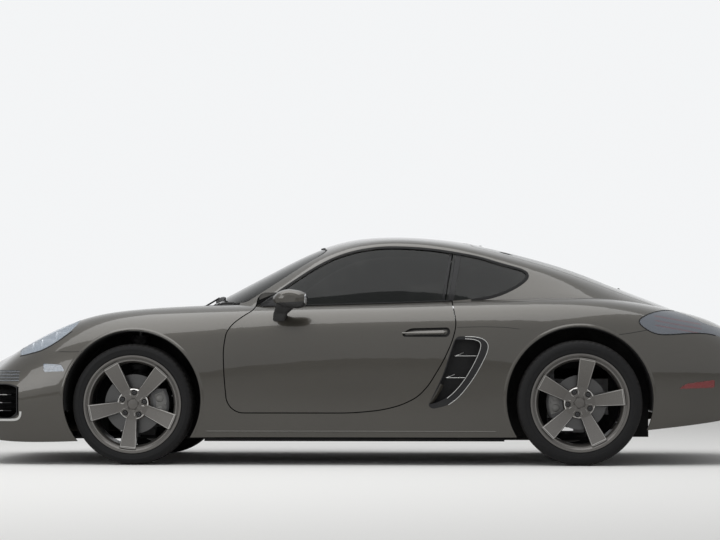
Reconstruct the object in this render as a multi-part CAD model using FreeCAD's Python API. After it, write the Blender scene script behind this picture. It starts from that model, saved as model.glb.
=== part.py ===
"""Mid-engined two-seat coupe car: body panels, cabin, running gear and wheels.

Frame: +X forwards, +Y to the car's left, +Z up, millimetres. The origin is on
the ground at the middle of the car's length.
"""

import FreeCAD
import Part

import math
import os

from FreeCAD import Vector

# Overall sizes
LENGTH = 4379.0
WIDTH = 1801.0
HEIGHT = 1295.0
WHEELBASE = 2475.0
FRONT_OVERHANG = 945.0

# Wheels and tyres
FRONT_TRACK = 1515.0
REAR_TRACK = 1532.0
FRONT_TYRE_RADIUS = 336.0
REAR_TYRE_RADIUS = 346.0
FRONT_TYRE_WIDTH = 235.0
REAR_TYRE_WIDTH = 265.0
BEAD_RADIUS = 254.0
FLANGE_HEIGHT = 17.5
FRONT_HUB_OFFSET = 57.0
REAR_HUB_OFFSET = 45.0
BORE_RADIUS = 30.0
SPOKES = 5
FRONT_SPOKE_ANGLE = 48.0
REAR_SPOKE_ANGLE = 7.6
KINGPIN_INSET = 57.5
BALL_JOINT_Z = 180.0

# Wheel arches
FRONT_ARCH_RADIUS = 383.0
REAR_ARCH_RADIUS = 403.5
ARCH_CENTRE_Z = 362.0

# Panels and their gaps
PANEL = 25.0
DOOR_WALL = 85.0
ROOF_WALL = 25.0
GLASS = 5.0
GLASS_INSET = 4.0
SHUT_GAP = 5.0
SEAM = 0.3
FIT = 0.3
GAP = 5.0

# Floor
FLOOR_Z = 130.0
FLOOR_THICK = 16.0
# Narrow ends of the floor: where they stop along the car, half width
NOSE_FLOOR = (1855.0, 400.0)
TAIL_FLOOR = (-1500.0, 560.0)

NOSE_X = LENGTH / 2
TAIL_X = -LENGTH / 2
FRONT_AXLE_X = NOSE_X - FRONT_OVERHANG
REAR_AXLE_X = FRONT_AXLE_X - WHEELBASE
HALF_WIDTH = WIDTH / 2
STATION_X = [NOSE_X, FRONT_AXLE_X, REAR_AXLE_X, TAIL_X]
BELT_Z = 900.0

# The outlines below are drawn on a car of these sizes and follow it when it grows.
DRAWN_X = [2189.5, 1244.5, -1230.5, -2189.5]
DRAWN_WIDTH = 1801.0
DRAWN_HEIGHT = 1295.0

# The poles of the skin stand a little outside the surface that they pull.
POLE_PROUD = 8.0
# Lower body sections. Station 0 is the nose, 1 the front axle, 2 the rear axle, 3 the tail.
# station, inset, sill z, tuck, waist, wide z, crest y, crest z, valley z, centre z
LOWER_SECTIONS = [
    (0.000, 600, 400, 30, 0, 430, 190, 480, 480, 480),
    (0.006, 335, 270, 40, 0, 410, 390, 500, 515, 520),
    (0.060, 182, 165, 50, 0, 400, 520, 480, 540, 558),
    (0.160, 98, 135, 50, 0, 410, 600, 548, 590, 612),
    (0.300, 50, 125, 45, 0, 440, 645, 655, 650, 660),
    (0.470, 20, 125, 40, 0, 485, 660, 752, 722, 714),
    (0.660, 7, 130, 35, 0, 525, 660, 832, 792, 764),
    (0.850, 5, 140, 30, 0, 560, 660, 872, 840, 810),
    (1.050, 8, 150, 28, 4, 590, 665, 887, 872, 852),
    (1.170, 14, 155, 26, 8, 630, 680, 893, 893, 890),
    (1.300, 17, 155, 22, 10, 660, 730, 892, 900, 905),
    (1.480, 18, 155, 20, 12, 675, 750, 898, 908, 912),
    (1.660, 14, 155, 20, 12, 680, 755, 910, 920, 925),
    (1.820, 9, 155, 22, 10, 670, 760, 922, 935, 935),
    (1.960, 5, 158, 26, 4, 655, 760, 928, 945, 940),
    (2.150, 6, 170, 32, 0, 640, 745, 920, 938, 930),
    (2.380, 19, 195, 40, 0, 625, 715, 890, 905, 900),
    (2.580, 40, 215, 50, 0, 610, 680, 850, 862, 862),
    (2.750, 82, 235, 60, 0, 595, 640, 805, 822, 825),
    (2.880, 140, 255, 70, 0, 575, 590, 745, 765, 770),
    (2.960, 215, 285, 70, 0, 550, 520, 680, 695, 700),
    (2.995, 350, 330, 60, 0, 520, 400, 630, 640, 645),
    (3.000, 600, 420, 30, 0, 500, 200, 585, 590, 590),
]

# Greenhouse sections from the cowl to the tail.
# station, foot y, belt y, rail y, rail z, centre z
CANOPY_SECTIONS = [
    (1.070, 730, 725, 720, 690, 812),
    (1.160, 740, 735, 730, 750, 930),
    (1.220, 748, 742, 722, 830, 1008),
    (1.280, 753, 744, 695, 912, 1086),
    (1.340, 757, 747, 652, 1010, 1163),
    (1.400, 760, 748, 604, 1118, 1230),
    (1.455, 763, 750, 574, 1186, 1271),
    (1.500, 764, 750, 568, 1222, 1290),
    (1.560, 766, 750, 570, 1245, 1299),
    (1.640, 768, 750, 576, 1243, 1295),
    (1.740, 768, 748, 584, 1208, 1271),
    (1.850, 768, 742, 592, 1135, 1212),
    (1.950, 765, 735, 598, 1064, 1145),
    (2.080, 755, 725, 600, 990, 1078),
    (2.300, 725, 700, 585, 920, 982),
    (2.550, 680, 650, 560, 850, 893),
    (2.760, 620, 590, 520, 760, 805),
]
CANOPY_FOOT_Z = 640.0

# Door shut line, seen from the side, from the front of the belt downwards and round
DOOR_OUTLINE = [
    (560, 960), (575, 866), (630, 832), (690, 786), (726, 738), (741, 640),
    (736, 490), (716, 286), (20, 286), (-140, 302), (-250, 330), (-340, 375),
    (-400, 438), (-484, 575), (-535, 690), (-556, 780), (-540, 862), (-520, 960),
]
DOOR_INNER_Y = 640.0

# Side-window opening, from the mirror's corner over the top to the tip behind
WINDOW_OUTLINE = [
    (552, 872), (395, 991), (237, 1097), (119, 1157), (0, 1192), (-119, 1208),
    (-237, 1209), (-395, 1199), (-552, 1175), (-684, 1150), (-800, 1112), (-961, 1070),
    (-916, 1013), (-788, 948), (-659, 923), (-505, 908), (-273, 900), (0, 891), (271, 879),
]

# Hinges
DOOR_GAP = 6.0
DOOR_STEP = 8.0
DOOR_AXIS_X = 677.0
DOOR_AXIS_INSET = 27.0
DOOR_HINGE_Z = (430.0, 590.0)
DOOR_PIN_RADIUS = 3.5
DOOR_EYE_RADIUS = 6.0
DOOR_EYE_HALF = 12.0
DOOR_HINGE_REACH = 66.0
POST_X = (765.0, 795.0)
POST_Y = (770.0, 815.0)
POST_TOP_Z = 740.0
BONNET_AXIS = (835.0, 874.0)
BONNET_HINGE_Y = 430.0
HATCH_AXIS = (-610.0, 1244.0)
HATCH_HINGE_Y = 330.0
LID_PIN_RADIUS = 4.0
TONGUE_HALF = 12.0
TONGUE_END = 10.0
TONGUE_ROOM = 60.0
# Reach of the cutters
SIDE_Y = HALF_WIDTH + 100.0
DECK_Y = 400.0
LOW_Z = 40.0
HIGH_Z = HEIGHT + 100.0
CRISP = 0.3
BONNET_HINGE_EDGE_X = 925.0
HATCH_HINGE_EDGE_X = -640.0

# Lids
LID_GAP_REAR = 8.0
LID_LIP = 10.0
LID_STEP = 12.0

# Lamps and their covers
LENS = 4.0
BOWL_WALL = 6.0

# Door handle and armrest
HANDLE_RECESS = 24.0
HANDLE_THICK = 11.0
HANDLE_POST = 22.0
ARMREST = (-230.0, 300.0, 735.0, 800.0, 520.0, 575.0)

# Side air intakes
INTAKE_DEPTH = 110.0
INTAKE_WALL = 5.0
BLADE_DEPTH = 60.0
VANE_THICK = 6.0
VANE_Z = (600.0, 480.0)
VANE_REACH = 105.0

# Nose intakes
NOSE_DUCT_X = 1890.0
CENTRE_DUCT_X = 2000.0
DUCT_WALL = 5.0
SLAT_THICK = 4.0
SLAT_START_X = 1930.0
SIDE_SLATS_Z = (299.0, 343.0, 388.0)
CENTRE_SLATS_Z = (290.0, 330.0)
CHIN_Z = (160.0, 238.0)
CHIN_WALL = 14.0
CHIN_FLOOR = 6.0

# Tail
DIFFUSER_LIFT = 45.0
DIFFUSER_PLATE = 8.0
DIFFUSER_FRONT_X = -1900.0
FIN_THICK = 8.0
FIN_Y = (-330.0, -190.0, 190.0, 330.0)
PIPE_Y = 62.0
PIPE_Z = 318.0
PIPE_RADIUS = 36.0
PIPE_WALL = 3.0
PIPE_END_X = -2165.0
SILENCER = [(-1640, 270), (-1640, 420), (-1860, 420), (-1860, 270)]
SILENCER_HALF = 400.0
HANGER_X = -1750.0
HANGER_Y = 300.0

# Wipers
WIPER_HEIGHT = 10.0
WIPER_SPINDLE = 8.0
WIPER_ARM = 5.0
WIPER_WIDTH = 10.0

# Springs and shafts
SPRING_Y = 520.0
SPRING_RADIUS = 54.0
SPRING_WIRE = 12.0
SPRING_COILS = 6
SPRING_Z = (430.0, 720.0)
DAMPER_RADIUS = 22.0
SHAFT_RADIUS = 15.0
BOOT_RADIUS = 40.0
GEARBOX = (-1500.0, -1110.0, 150.0, 262.0, 470.0)

# Subframes: half length along the car, half width, bottom and top
FRONT_BEAM = (60.0, 380.0, 190.0, 250.0)
REAR_BEAM = (60.0, 520.0, 200.0, 250.0)
BEAM_FOOT_Y = 300.0
RAIL_Y = 290.0
RAIL_HALF = 25.0
# Steering rack: behind the axle, half length, height, radius
RACK = (90.0, 400.0, 235.0, 24.0)
# Wheel carriers
BOSS_RADIUS = 62.0
POST_HALF = 30.0
POST_RISE = 150.0
CARRIER_ARM_HALF = 35.0
CALIPER_DEPTH = 55.0
CALIPER_RISE = 32.0
CALIPER_HALF = 85.0

# Bonnet from above, its left half from the nose to the cowl
BONNET_HALF = [
    (2085, 0), (2070, 250), (2000, 400), (1880, 478), (1700, 530), (1400, 585),
    (1150, 620), (930, 652), (868, 640), (915, 420), (945, 180), (950, 0),
]
# Hatch from above, its left half from the roof to its lip ahead of the spoiler
HATCH_HALF = [
    (-630, 0), (-628, 300), (-650, 470), (-900, 500), (-1300, 515), (-1700, 530), (-1865, 526), (-1880, 0),
]
# Opening that the hatch and the spoiler behind it fill
DECK_HALF = HATCH_HALF[:6] + [(-1985, 520), (-2000, 0)]
HATCH_GLASS_HALF = [(-690, 0), (-690, 280), (-720, 430), (-950, 440), (-1350, 430), (-1480, 380), (-1500, 0)]
ROOF_HALF = [(205, 0), (180, 260), (120, 500), (-100, 512), (-400, 520), (-640, 505), (-640, 0)]
WINDSCREEN_HALF = [
    (930, 0), (880, 300), (740, 560), (640, 668), (400, 585), (170, 500), (225, 260), (240, 0),
]
# Cowl panel between the bonnet and the windscreen
COWL_HALF = [
    (958, 0), (952, 182), (922, 418), (876, 640), (800, 664), (640, 668), (740, 545), (880, 290), (925, 0),
]
# Lip under the nose, its left half
CHIN_HALF = [
    (2168, 0), (2160, 300), (2135, 560), (2095, 690), (2040, 762), (1960, 805), (1880, 822),
    (1860, 700), (1860, 0),
]

FRONT_BUMPER_OUTLINE = [
    (1440, 628), (1516, 628), (1620, 625), (1730, 634), (1840, 612), (1905, 597), (1925, 700), (1930, 900),
    (2300, 900), (2300, 60), (1440, 60),
]
HEADLAMP_OUTLINE = [
    (1900, 602), (1840, 615), (1753, 637), (1667, 690), (1598, 746), (1565, 790),
    (1565, 900), (1800, 900), (1915, 760),
]
HEADLAMP_TOP = [(1950, 560), (1800, 560), (1650, 588), (1540, 640), (1540, 950), (1950, 950)]
# Round units in a headlamp: rear x, front x, y, z, radius
HEADLAMP_UNITS = [(1690, 1772, 705, 668, 30), (1625, 1700, 650, 715, 26), (1760, 1835, 640, 655, 24)]
TAIL_LAMP_OUTLINE = [
    (-1549, 800), (-1609, 838), (-1704, 862), (-1786, 854), (-1856, 825), (-1931, 784),
    (-2250, 700), (-2250, 640), (-1956, 727), (-1861, 732), (-1697, 719), (-1634, 730), (-1577, 765),
]
TAIL_LAMP_INNER_Y = 540.0
REAR_BUMPER_OUTLINE = [
    (-1380, 718), (-1458, 720), (-1584, 742), (-1640, 728), (-1700, 717), (-1861, 730), (-1956, 725),
    (-2060, 690), (-2300, 640), (-2300, 60), (-1380, 60),
]
SIDE_MARKER = [(1620, 520), (1642, 556), (1745, 562), (1738, 514)]
REFLECTOR = [(-1772, 423), (-1816, 451), (-1974, 473), (-1974, 429)]
# Side intake, and the mouth that its rear blade leaves open
INTAKE_OUTLINE = [
    (-560, 712), (-620, 712), (-689, 705), (-735, 668), (-714, 604), (-671, 520), (-621, 444),
    (-562, 373), (-500, 330), (-420, 312), (-395, 330), (-430, 400), (-478, 500), (-510, 600), (-540, 690),
]
INTAKE_MOUTH = [
    (-500, 696), (-640, 694), (-680, 680), (-684, 651), (-663, 596), (-625, 524), (-587, 465), (-541, 411),
    (-490, 368), (-427, 340), (-300, 330), (-300, 696),
]
QUARTER_OUTLINE = [(-553, 1300), (-475, 800), (-1100, 800), (-1100, 1300)]
HANDLE_POCKET = [(-235, 710), (-290, 757), (-520, 762), (-514, 708)]
HANDLE_OUTLINE = [(-247, 718), (-305, 744), (-505, 749), (-500, 722)]

# Openings seen from the front or from behind, across and up
NOSE_SIDE = [(455, 262), (842, 252), (862, 300), (862, 450), (440, 450), (438, 300)]
NOSE_CENTRE = [(-392, 244), (392, 244), (412, 368), (-412, 368)]
LIGHT_STRIP = [(448, 462), (870, 462), (870, 500), (830, 524), (600, 524), (452, 506)]
DIFFUSER_OPENING = [
    (-430, 100), (430, 100), (400, 340), (125, 345), (112, 364), (-112, 364), (-125, 345), (-400, 340),
]

# Mirror housing seen from the side, and how far it shrinks on its way outwards
MIRROR_OUTLINE = [
    (464, 926), (430, 960), (372, 976), (300, 964), (262, 942), (276, 876), (320, 864), (400, 874),
    (455, 898),
]
MIRROR_CENTRE = (365.0, 920.0)
MIRROR_SECTIONS = [
    (858, 0.42), (864, 0.70), (880, 0.90), (910, 1.00), (945, 0.97), (968, 0.84), (982, 0.60), (987, 0.36),
]
# Mirror foot: z, front x, rear x, inner y, outer y
MIRROR_FOOT = [(790, 468, 398, 780, 835), (838, 462, 385, 812, 868), (892, 440, 318, 862, 930)]

# Wipers: spindle x, y, blade's middle x, y, blade's ends x, y, x, y
WIPERS = [
    (930, 42, 828, 215, 886, -30, 770, 452),
    (792, -560, 806, -300, 870, -112, 744, -496),
]

DISC_RADIUS = {"front": 165.0, "rear": 150.0}
DISC_THICK = {"front": 28.0, "rear": 20.0}
DISC_OFFSET = 38.0
VENT_DEPTH = 14.0
LUG_CIRCLE = 65.0
LUG_HOLE = 17.0
HUB_RADIUS = 86.0
CAP_RADIUS = 34.0
SPOKE_BEVEL = 4.0

SEAT_CUSHION = [(400, 330), (405, 262), (300, 236), (0, 214), (-60, 240), (-50, 300), (0, 320), (250, 352)]
SEAT_BACK = [
    (-60, 255), (20, 300), (-60, 480), (-190, 800), (-240, 930), (-300, 925), (-290, 800), (-180, 480),
    (-120, 300),
]
DASHBOARD = [(790, 560), (790, 850), (700, 868), (560, 850), (480, 780), (470, 700), (520, 600), (600, 540)]
INSTRUMENT_HOOD = [(640, 840), (600, 888), (500, 880), (462, 850), (470, 790), (560, 800)]
CONSOLE = [(590, 146.3), (590, 520), (500, 500), (350, 420), (-250, 380), (-300, 300), (-300, 146.3)]
DASHBOARD_HALF = 640.0
HOOD_HALF = 150.0
CONSOLE_HALF = 95.0
# Seat runners: rear and front x, half width, top
SEAT_RUNNER = (-40.0, 330.0, 180.0, 222.0)
# Steering wheel: x and z of its centre, rake, ring radius, ring and spoke thickness, hub and column radius
STEERING_CENTRE = (345.0, 700.0)
STEERING_RAKE = 24.0
RING_RADIUS = 178.0
RING_THICK = 14.0
STEERING_SPOKE = (30.0, 12.0)
STEERING_HUB = (48.0, 30.0)
COLUMN_RADIUS = 24.0
COLUMN_LENGTH = 180.0

# Inner structure
SILL_INNER_Y = 780.0
SILL_TOP_Z = 286.0
WING_SPLIT_X = 718.0
FIREWALL_X = 800.0
REAR_WALL_X = -560.0
WALL_THICK = 14.0
LINER_THICK = 4.0
LINER_DROP = 60.0
LINER_EDGE_Y = HALF_WIDTH - 28.0
FRONT_LINER_INNER_Y = 436.0
REAR_LINER_INNER_Y = 596.0
FRONT_LINER_NOTCH = 190.0
REAR_LINER_NOTCH = 170.0
TUB_WALL = 6.0
FRONT_TUB = (960.0, 1880.0, 395.0, 320.0, 600.0)
REAR_DECK_Z = 790.0
REAR_TUB = (-1890.0, -1440.0, 480.0, 540.0)
REAR_DECK_Y = 520.0
ENGINE = (-1110.0, -600.0, 340.0, 250.0, 620.0)
SEAT_Y = 360.0
SEAT_WIDTH = 480.0


def interpolate(value, from_values, to_values):
    """Value carried from one falling scale to another, straight between the marks."""
    index = 0
    while index < len(from_values) - 2 and value < from_values[index + 1]:
        index += 1
    share = (value - from_values[index]) / (from_values[index + 1] - from_values[index])
    return to_values[index] + share * (to_values[index + 1] - to_values[index])


def place(x):
    """Place along the car of a point drawn at x on the outlines."""
    return interpolate(x, DRAWN_X, STATION_X)


def spread(y):
    """Place across the car of a point drawn at y on the outlines."""
    return y * WIDTH / DRAWN_WIDTH


def rise(z):
    """Height of a point drawn at z on the outlines: only the greenhouse grows with the height."""
    if z <= BELT_Z:
        return z
    return BELT_Z + (z - BELT_Z) * (HEIGHT - BELT_Z) / (DRAWN_HEIGHT - BELT_Z)


def station_x(station):
    """Place of a station along the car."""
    index = min(int(station), 2)
    return STATION_X[index] + (station - index) * (STATION_X[index + 1] - STATION_X[index])


def box(x0, x1, y0, y1, z0, z1):
    """Box between two corners."""
    low = Vector(min(x0, x1), min(y0, y1), min(z0, z1))
    return Part.makeBox(abs(x1 - x0), abs(y1 - y0), abs(z1 - z0), low)


def rod(start, end, radius):
    """Round bar between two points."""
    a, b = Vector(*start), Vector(*end)
    return Part.makeCylinder(radius, (b - a).Length, a, b - a)


def mirrored(shape):
    """The same shape on the other side of the car."""
    return shape.mirror(Vector(0, 0, 0), Vector(0, 1, 0))


def both_sides(shape):
    """A shape and its mirror image, as separate solids."""
    return Part.makeCompound([shape, mirrored(shape)])


def fuse(shapes):
    """One solid from several."""
    return shapes[0].multiFuse(shapes[1:]).removeSplitter()


def soft_wire(points, share=0.45):
    """Closed outline whose corners are turned by arcs that use a share of the shorter side."""
    count = len(points)
    turns = []
    for i in range(count):
        before, corner, after = points[i - 1], points[i], points[(i + 1) % count]
        into, out = corner - before, after - corner
        reach = share * min(into.Length, out.Length)
        half = into.getAngle(out) / 2
        start = corner - into.normalize() * reach
        end = corner + out.normalize() * reach
        if half < 0.002:
            turns.append((corner, corner, corner))
            continue
        sagitta = reach * (1 / math.sin(half) - 1 / math.tan(half))
        inward = ((start + end) * 0.5 - corner).normalize()
        turns.append((start, corner + inward * sagitta, end))
    edges = []
    for i, (start, through, end) in enumerate(turns):
        if start != end:
            edges.append(Part.Arc(start, through, end).toShape())
        following = turns[(i + 1) % count][0]
        if (following - end).Length > 1e-6:
            edges.append(Part.makeLine(end, following))
    return Part.Wire(edges)


def side_prism(outline, y0, y1, grow=0.0, share=0.45):
    """Outline seen from the side, carried from y0 to y1."""
    points = [Vector(place(x), y0, rise(z)) for x, z in outline]
    face = Part.Face(soft_wire(points, share))
    if grow:
        face = face.makeOffset2D(grow)
    return face.extrude(Vector(0, y1 - y0, 0))


def top_prism(outline, z0, z1, grow=0.0, share=0.45):
    """Outline seen from above, carried from z0 to z1."""
    points = [Vector(place(x), spread(y), z0) for x, y in outline]
    face = Part.Face(soft_wire(points, share))
    if grow:
        face = face.makeOffset2D(grow)
    return face.extrude(Vector(0, 0, z1 - z0))


def mirror_outline(half):
    """Whole outline from its left half, which starts and ends on the centre line."""
    return half + [(x, -y) for x, y in reversed(half) if y > 0]


def lower_row(station, inset, sill_z, tuck, waist, wide_z, crest_y, crest_z, valley_z, centre_z):
    """Poles of one lower body section, from the left sill over the top to the right sill."""
    half = HALF_WIDTH + POLE_PROUD - inset
    crest_y = spread(crest_y)
    x = station_x(station)
    left = [
        (half - tuck, sill_z),
        (half - 0.35 * tuck - 0.4 * waist, sill_z + 0.22 * (wide_z - sill_z)),
        (half - waist, sill_z + 0.60 * (wide_z - sill_z)),
        (half, wide_z),
        (half - 0.30 * (half - crest_y), wide_z + 0.70 * (crest_z - wide_z)),
        (crest_y, crest_z),
        (0.80 * crest_y, valley_z),
        (0.42 * crest_y, centre_z + 0.15 * (valley_z - centre_z)),
    ]
    return pole_row(x, left, centre_z)


def canopy_row(station, foot_y, belt_y, rail_y, rail_z, centre_z):
    """Poles of one greenhouse section, from the left belt over the roof to the right belt."""
    x = station_x(station)
    foot_y, belt_y, rail_y = spread(foot_y), spread(belt_y), spread(rail_y)
    rail_z, centre_z = rise(rail_z), rise(centre_z)
    belt_z = min(BELT_Z, CANOPY_FOOT_Z + 0.75 * (rail_z - CANOPY_FOOT_Z))
    left = [
        (foot_y, CANOPY_FOOT_Z),
        (foot_y, CANOPY_FOOT_Z + 0.45 * (belt_z - CANOPY_FOOT_Z)),
        (belt_y, belt_z),
        (rail_y + 0.50 * (belt_y - rail_y), belt_z + 0.54 * (rail_z - belt_z)),
        (rail_y + 0.22 * (belt_y - rail_y), belt_z + 0.81 * (rail_z - belt_z)),
        (rail_y - 4, rail_z),
        (0.87 * rail_y, rail_z + 0.44 * (centre_z - rail_z)),
        (0.55 * rail_y, centre_z - 0.14 * (centre_z - rail_z)),
    ]
    return pole_row(x, left, centre_z)


def pole_row(x, left, centre_z):
    """Symmetrical row of poles at one place along the car."""
    row = [Vector(x, y, z) for y, z in left]
    row.append(Vector(x, 0, centre_z))
    row.extend(Vector(x, -y, z) for y, z in reversed(left))
    return row


def clamped_knots(count):
    """Knots and multiplicities of a clamped cubic with so many poles."""
    spans = count - 3
    knots = [float(i) for i in range(spans + 1)]
    return knots, [4] + [1] * (spans - 1) + [4]


def inset_rows(rows, depth):
    """Poles moved inwards along the net's normals, with open ends and a lower foot."""
    moved = []
    last_row, last_pole = len(rows) - 1, len(rows[0]) - 1
    for i, row in enumerate(rows):
        inner = []
        for j, pole in enumerate(row):
            along = rows[min(i + 1, last_row)][j] - rows[max(i - 1, 0)][j]
            across = row[min(j + 1, last_pole)] - row[max(j - 1, 0)]
            normal = across.cross(along)
            inner.append(pole + normal.normalize() * depth)
        moved.append(inner)
    moved = moved[1:-1]
    for k, x in ((0, rows[1][0].x - depth), (-1, rows[-2][0].x + depth)):
        moved[k] = [Vector(x, p.y, p.z) for p in moved[k]]
    for row in moved:
        for j in (0, last_pole):
            row[j] = Vector(row[j].x, row[j].y, row[j].z - 60)
    return moved


def skin_solid(rows):
    """Solid under a smooth skin drawn through rows of poles."""
    u_knots, u_mults = clamped_knots(len(rows))
    v_knots, v_mults = clamped_knots(len(rows[0]))
    surface = Part.BSplineSurface()
    surface.buildFromPolesMultsKnots(rows, u_mults, v_mults, u_knots, v_knots, False, False, 3, 3)
    left = surface.vIso(v_knots[0]).toShape()
    right = surface.vIso(v_knots[-1]).toShape()
    faces = [surface.toShape(), Part.makeRuledSurface(left, right)]
    for knot in (u_knots[0], u_knots[-1]):
        rib = surface.uIso(knot).toShape()
        foot = Part.makeLine(rib.Vertexes[-1].Point, rib.Vertexes[0].Point)
        faces.append(Part.Face(Part.Wire([rib, foot])))
    shell = Part.makeShell(faces)
    shell.sewShape()
    solid = Part.makeSolid(shell)
    if solid.Volume < 0:
        solid.reverse()
    return solid


def front_prism(outline, x0, x1, grow=0.0, share=0.3):
    """Outline seen from the front, carried along the car from x0 to x1."""
    points = [Vector(x0, spread(y), z) for y, z in outline]
    face = Part.Face(soft_wire(points, share))
    if grow:
        face = face.makeOffset2D(grow)
    return face.extrude(Vector(x1 - x0, 0, 0))


def whole_top_prism(half, grow=0.0):
    """Prism over an outline given by its left half."""
    return top_prism(mirror_outline(half), LOW_Z, HIGH_Z, grow, CRISP)


def largest(shape):
    """The largest solid of a shape."""
    return max(shape.Solids, key=lambda solid: solid.Volume)


def top_of(solid, x, y):
    """Height of a solid's upper surface over a point."""
    line = Part.makeLine(Vector(x, y, LOW_Z), Vector(x, y, HIGH_Z))
    return max(vertex.Z for vertex in line.common(solid).Vertexes)


class Skins:
    """Outer body and greenhouse, and the layers and hollows inside them."""

    def __init__(self):
        self.lower_rows = [lower_row(*row) for row in LOWER_SECTIONS]
        self.canopy_rows = [canopy_row(*row) for row in CANOPY_SECTIONS]
        self.lower = skin_solid(self.lower_rows)
        self.canopy = skin_solid(self.canopy_rows)
        self.lower_inner = self.lower_inset(PANEL)
        self.lower_shell = self.lower.cut(self.lower_inner)
        self.under_lens = self.lower_inset(LENS)
        self.outer = self.lower.fuse(self.canopy)
        self.shell = self.outer.cut(self.lower_inner).cut(self.canopy_inset(ROOF_WALL))
        self.glass = self.canopy_inset(GLASS_INSET).cut(self.canopy_inset(GLASS_INSET + GLASS))
        self.raised = self.lower.translated(Vector(0, 0, SEAM))

    def lower_inset(self, depth):
        """Lower body made smaller by a depth on every side."""
        return skin_solid(inset_rows(self.lower_rows, depth))

    def canopy_inset(self, depth):
        """Greenhouse made smaller by a depth, or larger where it is negative."""
        return skin_solid(inset_rows(self.canopy_rows, depth))


def arch_cutter(axle_x, radius, inner_y):
    """Round wheel opening on the left side."""
    return rod((axle_x, inner_y, ARCH_CENTRE_Z), (axle_x, SIDE_Y, ARCH_CENTRE_Z), radius)


def build_body(skins):
    """Panels of the body shell, its lamps and its glass, by node name."""
    shell = skins.shell
    arches = [
        arch_cutter(FRONT_AXLE_X, FRONT_ARCH_RADIUS, DECK_Y),
        arch_cutter(REAR_AXLE_X, REAR_ARCH_RADIUS, DECK_Y),
    ]
    arched = shell.cut(both_sides(arches[0])).cut(both_sides(arches[1]))
    bonnet_hole = whole_top_prism(BONNET_HALF, SHUT_GAP)
    deck_hole = whole_top_prism(DECK_HALF, SHUT_GAP)
    roof_hole = whole_top_prism(ROOF_HALF, SEAM)
    screen_hole = whole_top_prism(WINDSCREEN_HALF, SEAM)
    cowl_hole = whole_top_prism(COWL_HALF, SEAM)
    door_hole = side_prism(DOOR_OUTLINE, DOOR_INNER_Y, SIDE_Y)
    window_hole = side_prism(WINDOW_OUTLINE, DECK_Y, SIDE_Y)
    headlamp_hole = headlamp_opening(0)
    tail_lamp_hole = tail_lamp_opening(0)
    front_bumper = side_prism(FRONT_BUMPER_OUTLINE, -SIDE_Y, SIDE_Y)
    rear_bumper = side_prism(REAR_BUMPER_OUTLINE, -SIDE_Y, SIDE_Y)

    parts = {}
    bumper = arched.common(front_bumper).cut(bonnet_hole).cut(both_sides(headlamp_hole))
    parts["bumper_front"] = front_openings(bumper, skins)
    bumper = arched.common(rear_bumper).cut(deck_hole).cut(both_sides(tail_lamp_hole))
    parts["bumper_rear"] = rear_openings(bumper, skins)
    roof = shell.common(whole_top_prism(ROOF_HALF)).cut(deck_hole)
    parts["windscreen"] = skins.glass.common(whole_top_prism(WINDSCREEN_HALF)).cut(skins.lower)
    cowl = skins.lower_shell.common(whole_top_prism(COWL_HALF)).cut(bonnet_hole)
    bonnet = skins.lower_shell.common(whole_top_prism(BONNET_HALF))
    parts["cowl_panel"], parts["bonnet"] = hinge_lid(
        cowl, bonnet, skins.lower_shell, BONNET_AXIS, BONNET_HINGE_Y, BONNET_HINGE_EDGE_X)
    parts["roof_panel"], parts["hatch"] = hinge_lid(
        roof, hatch_panel(skins), shell, HATCH_AXIS, HATCH_HINGE_Y, HATCH_HINGE_EDGE_X)
    parts["hatch_glass"] = skins.glass.common(whole_top_prism(HATCH_GLASS_HALF, -SEAM))
    deck = shell.common(whole_top_prism(DECK_HALF, SHUT_GAP - SEAM)).cut(skins.lower_inner)
    behind_hatch = box(place(-1700), place(-2100), -SIDE_Y, SIDE_Y, LOW_Z, HIGH_Z)
    parts["spoiler"] = largest(deck.common(behind_hatch).cut(whole_top_prism(HATCH_HALF, LID_GAP_REAR)))

    left = arched.common(box(TAIL_X - 100, NOSE_X + 100, 0, SIDE_Y, LOW_Z, HIGH_Z))
    for cutter in (front_bumper, rear_bumper, bonnet_hole, deck_hole, roof_hole, screen_hole, cowl_hole,
                   door_hole, window_hole, headlamp_hole, tail_lamp_hole):
        left = left.cut(cutter)
    wing_region = box(place(WING_SPLIT_X), NOSE_X, 0, SIDE_Y, SILL_TOP_Z, BELT_Z + 5)
    side = left.cut(wing_region)
    sill = skins.lower.common(box(place(-800), place(840), SILL_INNER_Y, SIDE_Y, LOW_Z, SILL_TOP_Z))
    for arch in arches:
        sill = sill.cut(arch)
    side = side.fuse(sill).fuse(hinge_posts())
    side = side.cut(side_prism(INTAKE_OUTLINE, HALF_WIDTH - INTAKE_DEPTH, SIDE_Y))
    parts["front_wings"] = both_sides(largest(left.common(wing_region)))
    parts["body_sides"] = both_sides(largest(side))
    parts["side_intakes"] = both_sides(side_intake(skins))

    quarter = side_prism(QUARTER_OUTLINE, DECK_Y, SIDE_Y, share=0.01)
    beyond = side_prism(QUARTER_OUTLINE, DECK_Y, SIDE_Y, GAP, share=0.01)
    pane_fixed = skins.glass.common(side_prism(WINDOW_OUTLINE, DECK_Y, SIDE_Y, -SEAM)).common(quarter)
    pane_door = skins.glass.common(side_prism(WINDOW_OUTLINE, DECK_Y, SIDE_Y, -DOOR_GAP)).cut(beyond)
    parts["quarter_glasses"] = both_sides(largest(pane_fixed.cut(skins.raised)))
    door = hinge_door(skins)
    pane = largest(pane_door.cut(skins.raised))
    parts["door_left"], parts["door_right"] = door, mirrored(door)
    parts["door_glass_left"], parts["door_glass_right"] = pane, mirrored(pane)
    return parts


def headlamp_opening(grow):
    """Room of the left headlamp, seen from the side and from above."""
    beside = side_prism(HEADLAMP_OUTLINE, DECK_Y, SIDE_Y, grow)
    return beside.common(top_prism(HEADLAMP_TOP, LOW_Z, HIGH_Z, grow))


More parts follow.
